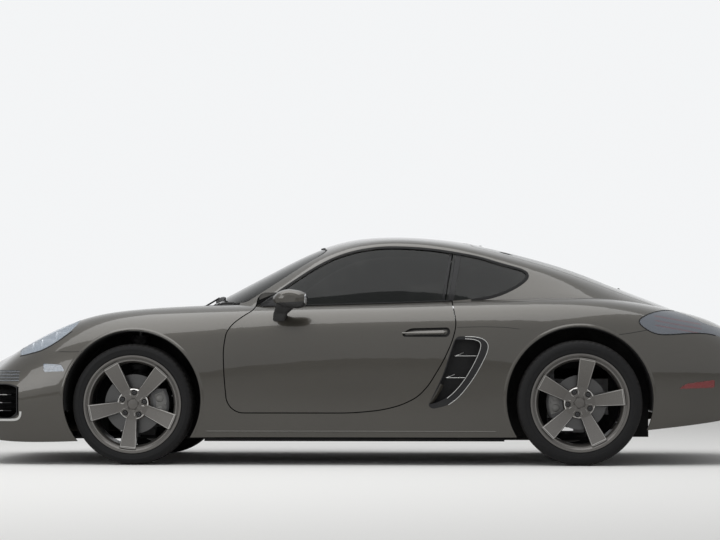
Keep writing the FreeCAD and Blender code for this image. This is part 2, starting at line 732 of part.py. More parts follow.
def tail_lamp_opening(grow):
    """Room of the left tail lamp."""
    return side_prism(TAIL_LAMP_OUTLINE, TAIL_LAMP_INNER_Y - grow, SIDE_Y, grow)


def build_lamps(skins):
    """Lamp bowls with their round units, and the clear and red covers over them."""
    room = skins.lower.common(headlamp_opening(-SEAM)).cut(whole_top_prism(BONNET_HALF, SHUT_GAP))
    bowl = room.common(skins.under_lens)
    clear = [largest(room.cut(skins.under_lens))]
    head = bowl.cut(headlamp_opening(-SEAM - BOWL_WALL))
    for x0, x1, y, z, radius in HEADLAMP_UNITS:
        unit = rod((place(x0), spread(y), z), (place(x1), spread(y), z), radius)
        face = rod((place(x1) - radius / 2, spread(y), z), (place(x1) + 1, spread(y), z), radius - LENS)
        head = head.fuse(bowl.common(unit).cut(face))
    room = skins.lower.common(tail_lamp_opening(-SEAM)).cut(whole_top_prism(DECK_HALF, SHUT_GAP))
    bowl = room.common(skins.under_lens)
    red = [largest(room.cut(skins.under_lens))]
    tail = bowl.cut(tail_lamp_opening(-SEAM - BOWL_WALL))
    clear.append(largest(inlay(skins, front_prism(LIGHT_STRIP, place(1882), NOSE_X + 50, -SEAM))))
    clear.append(largest(inlay(skins, side_prism(SIDE_MARKER, DECK_Y, SIDE_Y, -SEAM, 0.2))))
    red.append(largest(inlay(skins, side_prism(REFLECTOR, DECK_Y, SIDE_Y, -SEAM, 0.2))))
    return {
        "headlamps": both_sides(largest(head.removeSplitter())),
        "tail_lamps": both_sides(largest(tail)),
        "front_lamp_lenses": Part.makeCompound([both_sides(piece) for piece in clear]),
        "rear_lamp_lenses": Part.makeCompound([both_sides(piece) for piece in red]),
    }


def inlay(skins, prism):
    """Thin piece let into the skin where a prism meets it."""
    return skins.lower.common(prism).cut(skins.under_lens)


def front_openings(bumper, skins):
    """Front bumper with its intakes, light strips and markers cut and the lip under the nose added."""
    low, high = CHIN_Z
    outline = mirror_outline(CHIN_HALF)
    chin = top_prism(outline, low, high).cut(top_prism(outline, low + CHIN_FLOOR, high + 1, -CHIN_WALL))
    rear_x = place(CHIN_HALF[-1][0])
    chin = chin.cut(box(rear_x - 1, rear_x + CHIN_WALL + 1, -SIDE_Y, SIDE_Y, low + CHIN_FLOOR, high + 1))
    bumper = bumper.fuse(chin)
    side = front_prism(NOSE_SIDE, place(1882), NOSE_X + 50)
    strip = front_prism(LIGHT_STRIP, place(1882), NOSE_X + 50)
    marker = side_prism(SIDE_MARKER, DECK_Y, SIDE_Y, share=0.2)
    for opening in (side, inlay(skins, strip), inlay(skins, marker)):
        bumper = bumper.cut(both_sides(opening))
    bumper = bumper.cut(front_prism(NOSE_CENTRE, place(CENTRE_DUCT_X), NOSE_X + 50))
    return largest(bumper)


def rear_openings(bumper, skins):
    """Rear bumper with the diffuser's opening and the reflectors' seats cut."""
    bumper = bumper.cut(front_prism(DIFFUSER_OPENING, place(-1950), TAIL_X - 50))
    reflector = side_prism(REFLECTOR, DECK_Y, SIDE_Y, share=0.2)
    return largest(bumper.cut(both_sides(inlay(skins, reflector))))


def hatch_panel(skins):
    """Hatch: a frame round its glass, with a thin lip at its rear edge so that it lifts clear."""
    hatch = skins.shell.common(whole_top_prism(HATCH_HALF)).cut(skins.lower_inner)
    hatch = hatch.cut(whole_top_prism(HATCH_GLASS_HALF))
    edge = whole_top_prism(HATCH_HALF, 1).cut(whole_top_prism(HATCH_HALF, -LID_STEP))
    edge = edge.common(box(place(-1800), place(-2000), -SIDE_Y, SIDE_Y, LOW_Z, HIGH_Z))
    return hatch.cut(edge.common(skins.lower_inset(LID_LIP)))


def side_intake(skins):
    """Left air intake: a closed duct, the blade along its rear edge and two vanes."""
    back_y = HALF_WIDTH - INTAKE_DEPTH
    filled = side_prism(INTAKE_OUTLINE, back_y, SIDE_Y, -SEAM).common(skins.lower)
    hollow = side_prism(INTAKE_OUTLINE, back_y + INTAKE_WALL, SIDE_Y, -SEAM - INTAKE_WALL)
    duct = filled.cut(hollow)
    blade_back = box(place(-760), place(-380), HALF_WIDTH - BLADE_DEPTH, SIDE_Y, LOW_Z, HIGH_Z)
    blade = filled.common(blade_back).cut(side_prism(INTAKE_MOUTH, back_y, SIDE_Y))
    pieces = [duct, blade]
    for z in VANE_Z:
        rear_x = place(-735) if z == max(VANE_Z) else place(-690)
        outer_y = HALF_WIDTH - BLADE_DEPTH / 2
        plan = [Vector(rear_x, outer_y, z), Vector(rear_x + VANE_REACH + 30, outer_y, z),
                Vector(rear_x + VANE_REACH, outer_y - 14, z), Vector(rear_x, back_y, z)]
        vane = Part.Face(Part.makePolygon(plan + plan[:1])).extrude(Vector(0, 0, VANE_THICK))
        pieces.append(vane.common(filled))
    return largest(fuse(pieces))


def build_nose(skins):
    """Ducts with slats behind the openings in the front bumper."""
    side = nose_duct(skins, NOSE_SIDE, NOSE_DUCT_X, SIDE_SLATS_Z)
    centre = nose_duct(skins, NOSE_CENTRE, CENTRE_DUCT_X + SEAM, CENTRE_SLATS_Z)
    return {"grille_front": Part.makeCompound([centre, side, mirrored(side)])}


def nose_duct(skins, outline, back_x, slats):
    """Duct closed at the back, with level slats across it behind the skin."""
    filled = front_prism(outline, place(back_x), NOSE_X, -SEAM).common(skins.lower).common(skins.under_lens)
    hollow = front_prism(outline, place(back_x) + DUCT_WALL, NOSE_X + 1, -SEAM - DUCT_WALL)
    pieces = [filled.cut(hollow)]
    for z in slats:
        slat = box(place(max(SLAT_START_X, back_x)), NOSE_X, -SIDE_Y, SIDE_Y,
                   z - SLAT_THICK / 2, z + SLAT_THICK / 2)
        pieces.append(filled.common(slat).common(skins.lower_inner))
    return largest(fuse(pieces))


def build_tail(skins):
    """Diffuser with its fins under the tail, and the silencer with its two pipes."""
    def over(height):
        return skins.lower.translated(Vector(0, 0, height))

    channel = front_prism(DIFFUSER_OPENING, TAIL_X - 50, place(DIFFUSER_FRONT_X), -SEAM)
    space = skins.lower.common(channel)
    plate = space.common(over(DIFFUSER_LIFT)).cut(over(DIFFUSER_LIFT + DIFFUSER_PLATE))
    tunnel = box(TAIL_X - 50, place(DIFFUSER_FRONT_X) + 1, -2 * PIPE_Y, 2 * PIPE_Y, LOW_Z, HIGH_Z)
    pieces = [plate.cut(tunnel)]
    for y in FIN_Y:
        fin = box(TAIL_X - 50, place(DIFFUSER_FRONT_X), y - FIN_THICK / 2, y + FIN_THICK / 2, LOW_Z, HIGH_Z)
        pieces.append(space.common(fin).cut(over(DIFFUSER_LIFT + 1)))
    front_x = place(DIFFUSER_FRONT_X)
    wall = box(front_x - DIFFUSER_PLATE, front_x + 1, -SIDE_Y, SIDE_Y, LOW_Z, HIGH_Z)
    pieces.append(space.common(wall).cut(over(DIFFUSER_LIFT + DIFFUSER_PLATE)).cut(tunnel))
    bridge_z = PIPE_Z - PIPE_RADIUS - GAP
    pieces.append(box(front_x - DIFFUSER_PLATE, front_x, -2 * PIPE_Y - 1, 2 * PIPE_Y + 1,
                      bridge_z - DIFFUSER_PLATE, bridge_z))
    silencer = side_prism(SILENCER, -SILENCER_HALF, SILENCER_HALF)
    exhaust = [silencer]
    bores = []
    for y in (-PIPE_Y, PIPE_Y):
        exhaust.append(rod((place(-1700), y, PIPE_Z), (place(PIPE_END_X), y, PIPE_Z), PIPE_RADIUS))
        bores.append(rod((place(DIFFUSER_FRONT_X), y, PIPE_Z), (place(PIPE_END_X) - 1, y, PIPE_Z),
                         PIPE_RADIUS - PIPE_WALL))
    hanger_x = place(HANGER_X)
    for y in (-HANGER_Y, HANGER_Y):
        exhaust.append(box(hanger_x - 10, hanger_x + 10, y - 4, y + 4,
                           SILENCER[1][1] - 5, REAR_TUB[3] - SEAM))
    exhaust = fuse(exhaust)
    for bore in bores:
        exhaust = exhaust.cut(bore)
    return {"diffuser": fuse(pieces), "exhaust": exhaust}


def build_wipers(skins):
    """Two wipers: a spindle on the cowl, an arm, and a blade just over the glass."""
    glass = skins.canopy_inset(GLASS_INSET - SEAM)
    layer = skins.canopy_inset(-WIPER_HEIGHT).cut(glass)
    wipers = []
    for x, y, mid_x, mid_y, x0, y0, x1, y1 in WIPERS:
        start, end = Vector(place(x0), spread(y0), LOW_Z), Vector(place(x1), spread(y1), LOW_Z)
        across = (end - start).cross(Vector(0, 0, 1)).normalize() * (WIPER_WIDTH / 2)
        corners = [start - across, start + across, end + across, end - across]
        strip = Part.Face(Part.makePolygon(corners + corners[:1])).extrude(Vector(0, 0, HIGH_Z))
        top = top_of(layer, place(mid_x), spread(mid_y))
        base = top_of(skins.lower, place(x), spread(y))
        spindle = rod((place(x), spread(y), base), (place(x), spread(y), base + 22), WIPER_SPINDLE)
        arm = rod((place(x), spread(y), base + 16), (place(mid_x), spread(mid_y), top), WIPER_ARM)
        wiper = fuse([layer.common(strip), arm.cut(glass), spindle.cut(glass)])
        wipers.append(largest(wiper.cut(skins.raised)))
    return {"wipers": Part.makeCompound(wipers)}


def hinge_lid(fixed, lid, skin, axis, hinge_y, edge_x):
    """Tongues of a lid reach into the panel beside it and turn there on pins."""
    x, z = place(axis[0]), rise(axis[1])
    towards = 1 if place(edge_x) > x else -1
    for side in (1, -1):
        y = side * spread(hinge_y)
        pin = rod((x, y - TONGUE_HALF - GAP, z), (x, y + TONGUE_HALF + GAP, z), LID_PIN_RADIUS)
        bore = rod((x, y - TONGUE_HALF - GAP, z), (x, y + TONGUE_HALF + GAP, z), LID_PIN_RADIUS + FIT)
        low, high = z - TONGUE_ROOM, z + TONGUE_ROOM
        room = box(x - towards * (TONGUE_END + 2 * GAP), place(edge_x), y - TONGUE_HALF - GAP,
                   y + TONGUE_HALF + GAP, low, high)
        reach = box(x - towards * TONGUE_END, place(edge_x), y - TONGUE_HALF, y + TONGUE_HALF, low, high)
        fixed = fixed.cut(room).fuse(pin)
        lid = lid.fuse(skin.common(reach)).cut(bore)
    return fixed.removeSplitter(), lid.removeSplitter()


def hinge_door(skins):
    """Left door: outer skin, deeper part stepped back from the edge, hinges, handle and armrest."""
    outer = skins.lower_shell.common(side_prism(DOOR_OUTLINE, DOOR_INNER_Y, SIDE_Y, -DOOR_GAP))
    stepped = side_prism(DOOR_OUTLINE, DOOR_INNER_Y, SIDE_Y, -DOOR_GAP - DOOR_STEP)
    inner = skins.lower.common(stepped).cut(skins.lower_inset(DOOR_WALL))
    x0, x1, y0, y1, z0, z1 = ARMREST
    armrest = box(place(x0), place(x1), spread(y0), spread(y1), z0, z1)
    door = outer.fuse(inner).fuse(armrest)
    x, y = place(DOOR_AXIS_X), HALF_WIDTH - DOOR_AXIS_INSET
    for z in DOOR_HINGE_Z:
        half = DOOR_EYE_HALF + GAP
        pocket = box(x - DOOR_EYE_RADIUS - 8, x + 120, y - 120, y + DOOR_EYE_RADIUS + 1, z - half, z + half)
        pin = rod((x, y, z - half - 1), (x, y, z + half + 1), DOOR_PIN_RADIUS)
        door = door.cut(pocket).fuse(pin)
    floor = skins.lower_inset(HANDLE_RECESS)
    recess = side_prism(HANDLE_POCKET, DOOR_INNER_Y, SIDE_Y).common(skins.lower).cut(floor)
    grip = side_prism(HANDLE_OUTLINE, DOOR_INNER_Y, SIDE_Y).common(skins.under_lens)
    door = door.cut(recess).fuse(grip.cut(skins.lower_inset(LENS + HANDLE_THICK)))
    ends = [outline_x for outline_x, outline_z in HANDLE_OUTLINE]
    for x0 in (max(ends) - 2 * HANDLE_POST, min(ends) + HANDLE_POST):
        post = box(place(x0), place(x0) + HANDLE_POST, HALF_WIDTH - 2 * HANDLE_RECESS, SIDE_Y, LOW_Z, HIGH_Z)
        door = door.fuse(grip.common(post))
    return largest(door.removeSplitter())


def hinge_posts():
    """Left front door post with the two eyes that the door's pins turn in."""
    x, y = place(DOOR_AXIS_X), HALF_WIDTH - DOOR_AXIS_INSET
    post_x0, post_x1 = place(POST_X[0]), place(POST_X[1])
    pieces = [box(post_x0, post_x1, spread(POST_Y[0]), spread(POST_Y[1]), SILL_TOP_Z - 5, POST_TOP_Z)]
    for z in DOOR_HINGE_Z:
        low, high = z - DOOR_EYE_HALF, z + DOOR_EYE_HALF
        eye = rod((x, y, low), (x, y, high), DOOR_EYE_RADIUS)
        leg = box(x - DOOR_EYE_RADIUS, x + DOOR_EYE_RADIUS, y - DOOR_HINGE_REACH, y, low, high)
        foot = box(x - DOOR_EYE_RADIUS, post_x1, y - DOOR_HINGE_REACH - 12, y - DOOR_HINGE_REACH, low, high)
        bore = rod((x, y, low), (x, y, high), DOOR_PIN_RADIUS + FIT)
        pieces.append(fuse([eye, leg, foot]).cut(bore))
    return fuse(pieces)


def build_structure(skins):
    """Floor, walls, wheel-arch liners and luggage tubs."""
    parts = {}
    front_x, rear_x = FRONT_AXLE_X - FRONT_ARCH_RADIUS - 10, REAR_AXLE_X + REAR_ARCH_RADIUS + 10
    end_x, half = NOSE_FLOOR
    nose_floor = box(front_x, place(end_x), -half, half, FLOOR_Z, FLOOR_Z + FLOOR_THICK)
    end_x, half = TAIL_FLOOR
    tail_floor = box(place(end_x), rear_x, -half, half, FLOOR_Z, FLOOR_Z + FLOOR_THICK)
    half = SILL_INNER_Y - SEAM
    floor = box(rear_x, front_x, -half, half, FLOOR_Z, FLOOR_Z + FLOOR_THICK)
    parts["floor_pan"] = fuse([floor, nose_floor, tail_floor])
    for name, x0 in (("firewall", place(FIREWALL_X)), ("rear_bulkhead", place(REAR_WALL_X) - WALL_THICK)):
        wall = box(x0, x0 + WALL_THICK, -half, half, FLOOR_Z + FLOOR_THICK + SEAM, BELT_Z)
        parts[name] = wall.common(skins.lower_inner)
    parts["wheel_arch_liners"] = Part.makeCompound(
        [both_sides(liner(FRONT_AXLE_X, FRONT_ARCH_RADIUS, FRONT_LINER_INNER_Y, FRONT_LINER_NOTCH)),
         both_sides(liner(REAR_AXLE_X, REAR_ARCH_RADIUS, REAR_LINER_INNER_Y, REAR_LINER_NOTCH))])
    x0, x1, half, z0, z1 = FRONT_TUB
    outer = box(place(x0), place(x1), -half, half, z0, z1)
    inner = box(place(x0) + TUB_WALL, place(x1) - TUB_WALL, -half + TUB_WALL, half - TUB_WALL,
                z0 + TUB_WALL, z1 + 1)
    parts["front_luggage_tub"] = outer.cut(inner)
    x0, x1, half, z0 = REAR_TUB
    x0, x1 = place(x0), place(x1)
    deck = box(x0 - 40, place(REAR_WALL_X) - WALL_THICK - SEAM, -REAR_DECK_Y, REAR_DECK_Y,
               REAR_DECK_Z - TUB_WALL, REAR_DECK_Z)
    well = box(x0, x1, -half, half, z0, REAR_DECK_Z)
    hollow = box(x0 + TUB_WALL, x1 - TUB_WALL, -half + TUB_WALL, half - TUB_WALL,
                 z0 + TUB_WALL, REAR_DECK_Z + 1)
    parts["rear_luggage_tub"] = deck.fuse(well).cut(hollow).removeSplitter()
    return parts


def liner(axle_x, arch_radius, inner_y, notch):
    """Wheel-arch liner on the left: a half drum with its inner wall, open round the suspension."""
    radius = arch_radius - SEAM
    drum = rod((axle_x, inner_y, ARCH_CENTRE_Z), (axle_x, LINER_EDGE_Y, ARCH_CENTRE_Z), radius)
    hollow = rod((axle_x, inner_y + LINER_THICK, ARCH_CENTRE_Z), (axle_x, LINER_EDGE_Y + 1, ARCH_CENTRE_Z),
                 radius - LINER_THICK)
    upper = box(axle_x - arch_radius, axle_x + arch_radius, 0, SIDE_Y,
                ARCH_CENTRE_Z - LINER_DROP, ARCH_CENTRE_Z + arch_radius)
    window = box(axle_x - notch, axle_x + notch, inner_y - 1, inner_y + LINER_THICK + 1,
                 0, ARCH_CENTRE_Z + notch)
    return drum.cut(hollow).common(upper).cut(window)


def revolve(profile, centre):
    """Solid of revolution about an axle; the profile gives distance out along it, then radius."""
    points = [Vector(centre[0], centre[1] + y, centre[2] + r) for y, r in profile]
    face = Part.Face(Part.makePolygon(points + points[:1]))
    return face.revolve(Vector(*centre), Vector(0, 1, 0), 360)


def tyre(centre, radius, width):
    """Hollow tyre on its beads, rounded at the shoulders."""
    half = width / 2
    flange = BEAD_RADIUS + FLANGE_HEIGHT
    profile = [
        (half - 22, BEAD_RADIUS + FIT), (half - 12.5, BEAD_RADIUS + FIT), (half - 12.5, flange + 1),
        (half - 3, flange + 10), (half, flange + 26), (half - 3, radius - 24), (half - 16, radius - 5),
        (half * 0.5, radius - 0.8), (0, radius),
        (0, radius - 14), (half - 20, radius - 18), (half - 14, flange + 26), (half - 24, BEAD_RADIUS + 8),
    ]
    outside, inside = profile[:9], profile[9:]
    loop = outside + [(-y, r) for y, r in reversed(outside[:-1])]
    loop += [(-y, r) for y, r in reversed(inside[1:])] + inside
    return revolve(loop, centre)


def rim(centre, width, hub_offset, first_angle):
    """Cast wheel: barrel with a stepped lip, hub with lug pockets, and broad spokes that widen outwards."""
    half = width / 2 - 5
    flange = BEAD_RADIUS + FLANGE_HEIGHT
    barrel_radius = BEAD_RADIUS - 24
    profile = [
        (half, flange), (half - 7, flange), (half - 7.2, BEAD_RADIUS), (half - 22, BEAD_RADIUS - 1),
        (half - 34, BEAD_RADIUS - 18), (-half + 60, BEAD_RADIUS - 18), (-half + 22, BEAD_RADIUS - 1),
        (-half + 7.2, BEAD_RADIUS), (-half + 7, flange), (-half, flange), (-half, BEAD_RADIUS - 6),
        (-half + 40, barrel_radius), (half - 28, barrel_radius), (half - 10, BEAD_RADIUS - 14),
        (half - 10, BEAD_RADIUS - 6), (half - 2, flange - 13), (half, flange - 12),
    ]
    barrel = revolve(profile, centre)
    hub = revolve([
        (hub_offset, BORE_RADIUS + FIT), (hub_offset, HUB_RADIUS - 3), (hub_offset + 24, HUB_RADIUS),
        (hub_offset + 28, HUB_RADIUS - 6), (hub_offset + 31, CAP_RADIUS + 8), (hub_offset + 31, CAP_RADIUS),
        (hub_offset + 20, CAP_RADIUS), (hub_offset + 20, BORE_RADIUS + FIT),
    ], centre)
    spokes = [spoke(centre, hub_offset, half, first_angle + i * 360 / SPOKES) for i in range(SPOKES)]
    whole = fuse([barrel, hub] + spokes)
    for i in range(SPOKES):
        angle = math.radians(first_angle + (i + 0.5) * 360 / SPOKES)
        x, z = centre[0] + LUG_CIRCLE * math.cos(angle), centre[2] + LUG_CIRCLE * math.sin(angle)
        face_y = centre[1] + hub_offset
        whole = whole.cut(rod((x, face_y + 10, z), (x, face_y + 60, z), LUG_HOLE))
    return whole


def spoke(centre, hub_offset, half, angle):
    """One spoke: a bevelled bar between a narrow foot on the hub and a broad end at the lip."""
    sections = (
        # radius, half width, back, front
        (44, 17, hub_offset + 2, hub_offset + 32),
        (86, 22, hub_offset + 4, hub_offset + 31),
        (BEAD_RADIUS - 7, 40, half - 36, half - 4),
    )
    pieces = []
    for foot, end in zip(sections, sections[1:]):
        wires = []
        for radius, wide, back, front in (foot, end):
            outline = [
                (-wide, back), (-wide, front - SPOKE_BEVEL), (-wide + SPOKE_BEVEL, front),
                (wide - SPOKE_BEVEL, front), (wide, front - SPOKE_BEVEL), (wide, back),
            ]
            points = [Vector(centre[0] + radius, centre[1] + y, centre[2] + s) for s, y in outline]
            wires.append(Part.makePolygon(points + points[:1]))
        pieces.append(Part.makeLoft(wires, True, True))
    bar = fuse(pieces)
    bar.rotate(Vector(*centre), Vector(0, 1, 0), -angle)
    return bar


def disc(centre, hub_offset, radius, thickness):
    """Vented brake disc with its hat, behind the wheel's mounting face."""
    face = hub_offset - SEAM
    front, back = face - DISC_OFFSET, face - DISC_OFFSET - thickness
    profile = [
        (face, BORE_RADIUS + FIT), (face, 84), (front, 86), (front, radius), (front - thickness / 3, radius),
        (front - thickness / 3, radius - VENT_DEPTH), (back + thickness / 3, radius - VENT_DEPTH),
        (back + thickness / 3, radius), (back, radius), (back, 80), (face - 8, 76),
        (face - 8, BORE_RADIUS + FIT),
    ]
    return revolve(profile, centre)


def build_wheels():
    """Four wheels: rim, tyre and brake disc."""
    parts = {}
    ends = (
        # end, axle x, middle y, radius, width, hub offset, first spoke
        ("front", FRONT_AXLE_X, FRONT_TRACK / 2, FRONT_TYRE_RADIUS, FRONT_TYRE_WIDTH,
         FRONT_HUB_OFFSET, FRONT_SPOKE_ANGLE),
        ("rear", REAR_AXLE_X, REAR_TRACK / 2, REAR_TYRE_RADIUS, REAR_TYRE_WIDTH,
         REAR_HUB_OFFSET, REAR_SPOKE_ANGLE),
    )
    for end, x, y, radius, width, offset, angle in ends:
        centre = (x, y, radius)
        shapes = {
            "tyre": tyre(centre, radius, width),
            "rim": rim(centre, width, offset, 180 - angle),
            "brake_disc": disc(centre, offset, DISC_RADIUS[end], DISC_THICK[end]),
        }
        for piece, shape in shapes.items():
            parts[piece + "_" + end + "_left"] = shape
            parts[piece + "_" + end + "_right"] = mirrored(shape)
    return parts


def caliper(centre, hub_offset, radius, thickness, behind):
    """Brake caliper that straddles the disc over a short arc, ahead of or behind the axle."""
    mid = hub_offset - SEAM - DISC_OFFSET - thickness / 2
    reach = thickness / 2 + 30
    low, high = radius - CALIPER_DEPTH, radius + CALIPER_RISE
    block = revolve([(mid - reach, low), (mid - reach, high), (mid + reach - 6, high),
                     (mid + reach, high - 12), (mid + reach, low)], centre)
    slot = revolve([(mid - thickness / 2 - GAP, 20), (mid - thickness / 2 - GAP, radius + GAP),
                    (mid + thickness / 2 + GAP, radius + GAP), (mid + thickness / 2 + GAP, 20)], centre)
    x0, x1 = (centre[0] - 300, centre[0] - 90) if behind else (centre[0] + 90, centre[0] + 300)
    window = box(x0, x1, 0, SIDE_Y, centre[2] - CALIPER_HALF, centre[2] + CALIPER_HALF)
    return block.cut(slot).common(window)


def carrier(centre, hub_offset, radius, thickness, behind):
    """Wheel carrier: stub axle, upright and caliper in one piece."""
    x, y, z = centre
    mid = y + hub_offset - DISC_OFFSET - thickness
    stub = rod((x, mid - 60, z), (x, y + hub_offset + 19, z), BORE_RADIUS)
    boss = rod((x, mid - 60, z), (x, mid - 8, z), BOSS_RADIUS)
    post = box(x - POST_HALF, x + POST_HALF, mid - 60, mid - 25, BALL_JOINT_Z + SEAM, z + POST_RISE)
    sign = -1 if behind else 1
    arm = box(x, x + sign * (radius + 20), mid - 46, mid - 22, z - CARRIER_ARM_HALF, z + CARRIER_ARM_HALF)
    return fuse([stub, boss, post, arm, caliper(centre, hub_offset, radius, thickness, behind)])


def build_running_gear():
    """Knuckles that steer, rear carriers with their shafts, and the subframes with arms and springs."""
    parts = {}
    front_centre = (FRONT_AXLE_X, FRONT_TRACK / 2, FRONT_TYRE_RADIUS)
    rear_centre = (REAR_AXLE_X, REAR_TRACK / 2, REAR_TYRE_RADIUS)
    knuckle = carrier(front_centre, FRONT_HUB_OFFSET, DISC_RADIUS["front"], DISC_THICK["front"], True)
    parts["knuckle_left"] = knuckle
    parts["knuckle_right"] = mirrored(knuckle)
    rear = carrier(rear_centre, REAR_HUB_OFFSET, DISC_RADIUS["rear"], DISC_THICK["rear"], False)
    parts["rear_carriers"] = both_sides(fuse([rear, drive_shaft(rear_centre)]))
    kingpin_y = FRONT_TRACK / 2 - KINGPIN_INSET
    along, half, z0, z1 = FRONT_BEAM
    beam = box(FRONT_AXLE_X - along, FRONT_AXLE_X + along, -half, half, z0, z1)
    arm = rod((FRONT_AXLE_X, 360, 210), (FRONT_AXLE_X, kingpin_y - 20, 165), 16)
    feet = [box(FRONT_AXLE_X - along, FRONT_AXLE_X + along, y - 30, y + 30,
                FLOOR_Z + FLOOR_THICK + SEAM, FRONT_TUB[3] - SEAM) for y in (-BEAM_FOOT_Y, BEAM_FOOT_Y)]
    seat = rod((FRONT_AXLE_X, kingpin_y, BALL_JOINT_Z - 30), (FRONT_AXLE_X, kingpin_y, BALL_JOINT_Z), 24)
    strut = spring_strut(FRONT_AXLE_X, 185, ARCH_CENTRE_Z + FRONT_ARCH_RADIUS)
    behind, half, z, radius = RACK
    rack = rod((FRONT_AXLE_X - behind, -half, z), (FRONT_AXLE_X - behind, half, z), radius)
    mount = box(FRONT_AXLE_X - behind, FRONT_AXLE_X, -40, 40, z - 13, z + 11)
    parts["front_suspension"] = fuse([beam, rack, mount] + feet + [
        piece for left in (arm, seat, strut) for piece in (left, mirrored(left))])
    along, half, z0, z1 = REAR_BEAM
    beam = box(REAR_AXLE_X - along, REAR_AXLE_X + along, -half, half, z0, z1)
    rail_end_x = place(REAR_WALL_X) - WALL_THICK - SEAM
    rails = [box(REAR_AXLE_X - along, rail_end_x, y - RAIL_HALF, y + RAIL_HALF, z0, z1)
             for y in (-RAIL_Y, RAIL_Y)]
    post_y = REAR_TRACK / 2 + REAR_HUB_OFFSET - 98 - DISC_THICK["rear"]
    arm = rod((REAR_AXLE_X, 500, 215), (REAR_AXLE_X, post_y - SEAM, 215), 18)
    parts["rear_suspension"] = fuse([beam, arm, mirrored(arm)] + rails)
    x0, x1, half, z0, z1 = ENGINE
    block = box(place(x0), place(x1), -half, half, z0 + SEAM, z1)
    x0, x1, half, z0, z1 = GEARBOX
    parts["engine"] = fuse([block, box(place(x0), place(x1), -half, half, z0, z1)])
    return parts


def drive_shaft(centre):
    """Left drive shaft from the gearbox to the wheel carrier, with a boot at each end."""
    x, y, z = centre
    inner, outer = GEARBOX[2] + SEAM, y + REAR_HUB_OFFSET - DISC_OFFSET - DISC_THICK["rear"] - 60
    shaft = rod((x, inner, z), (x, outer + 5, z), SHAFT_RADIUS)
    boots = [rod((x, inner, z), (x, inner + 90, z), BOOT_RADIUS)]
    boots.append(rod((x, outer - 70, z), (x, outer + 1, z), BOOT_RADIUS))
    return fuse([shaft] + boots)


def spring_strut(x, low, crown):
    """Left damper with a coil spring round it, from the lower arm to the crown of the arch liner."""
    top = crown - 2 * SEAM - LINER_THICK
    start, end = SPRING_Z
    turns = 2 * SPRING_COILS
    step = (end - start) / turns
    profile = [(0, start)]
    for i in range(turns + 1):
        radius = SPRING_RADIUS if i % 2 else SPRING_RADIUS - SPRING_WIRE
        profile.append((radius, start + i * step))
    profile.append((0, end))
    points = [Vector(x + r, SPRING_Y, z) for r, z in profile]
    coil = Part.Face(Part.makePolygon(points + points[:1])).revolve(
        Vector(x, SPRING_Y, 0), Vector(0, 0, 1), 360)
    damper = rod((x, SPRING_Y, low), (x, SPRING_Y, end), DAMPER_RADIUS)
    tip = rod((x, SPRING_Y, end), (x, SPRING_Y, top - 0.5), 14)
    seat = rod((x, SPRING_Y, start - 8), (x, SPRING_Y, start + 1), SPRING_RADIUS + 4)
    return fuse([coil, damper, tip, seat])


def build_cabin():
    """Seats, dashboard, steering wheel and console."""
    parts = {}
    x0, x1, half, top = SEAT_RUNNER
    for name, y in (("left", SEAT_Y), ("right", -SEAT_Y)):
        cushion = side_prism(SEAT_CUSHION, y - SEAT_WIDTH / 2, y + SEAT_WIDTH / 2)
        back = side_prism(SEAT_BACK, y - SEAT_WIDTH / 2, y + SEAT_WIDTH / 2)
        room = box(place(x0) - GAP, place(x1) + GAP, y - half - GAP, y + half + GAP, FLOOR_Z, top + SEAM)
        parts["seat_" + name] = fuse([cushion, back]).cut(room)
    base = []
    for y in (SEAT_Y, -SEAT_Y):
        base.append(box(place(x0), place(x1), y - half, y + half, FLOOR_Z + FLOOR_THICK + SEAM, top))
    parts["seat_bases"] = Part.makeCompound(base)
    hood = side_prism(INSTRUMENT_HOOD, SEAT_Y - HOOD_HALF, SEAT_Y + HOOD_HALF)
    dashboard = side_prism(DASHBOARD, -DASHBOARD_HALF, DASHBOARD_HALF).fuse(hood).removeSplitter()
    parts["centre_console"] = side_prism(CONSOLE, -CONSOLE_HALF, CONSOLE_HALF, share=0.2)
    centre = Vector(place(STEERING_CENTRE[0]), SEAT_Y, STEERING_CENTRE[1])
    rake = math.radians(STEERING_RAKE)
    axis = Vector(math.cos(rake), 0, -math.sin(rake))
    ring = Part.makeTorus(RING_RADIUS, RING_THICK, centre, axis)
    hub_radius, hub_depth = STEERING_HUB
    hub = Part.makeCylinder(hub_radius, hub_depth, centre - axis * (hub_depth / 2), axis)
    column = Part.makeCylinder(COLUMN_RADIUS, COLUMN_LENGTH, centre, axis)
    wide, thick = STEERING_SPOKE
    level = Part.makeBox(2 * RING_RADIUS, wide, thick, Vector(-RING_RADIUS, -wide / 2, -thick / 2))
    upright = Part.makeBox(wide, RING_RADIUS, thick, Vector(-wide / 2, -RING_RADIUS, -thick / 2))
    placed = []
    for bar in (level, upright):
        turn = FreeCAD.Rotation(Vector(0, 1, 0), Vector(0, 0, 1), axis, "ZXY")
        bar.Placement = FreeCAD.Placement(centre, turn)
        placed.append(bar)
    parts["steering_wheel"] = fuse([ring, hub, column] + placed)
    tunnel = Part.makeCylinder(COLUMN_RADIUS + SEAM, COLUMN_LENGTH + 60, centre, axis)
    parts["dashboard"] = dashboard.cut(tunnel)
    return parts


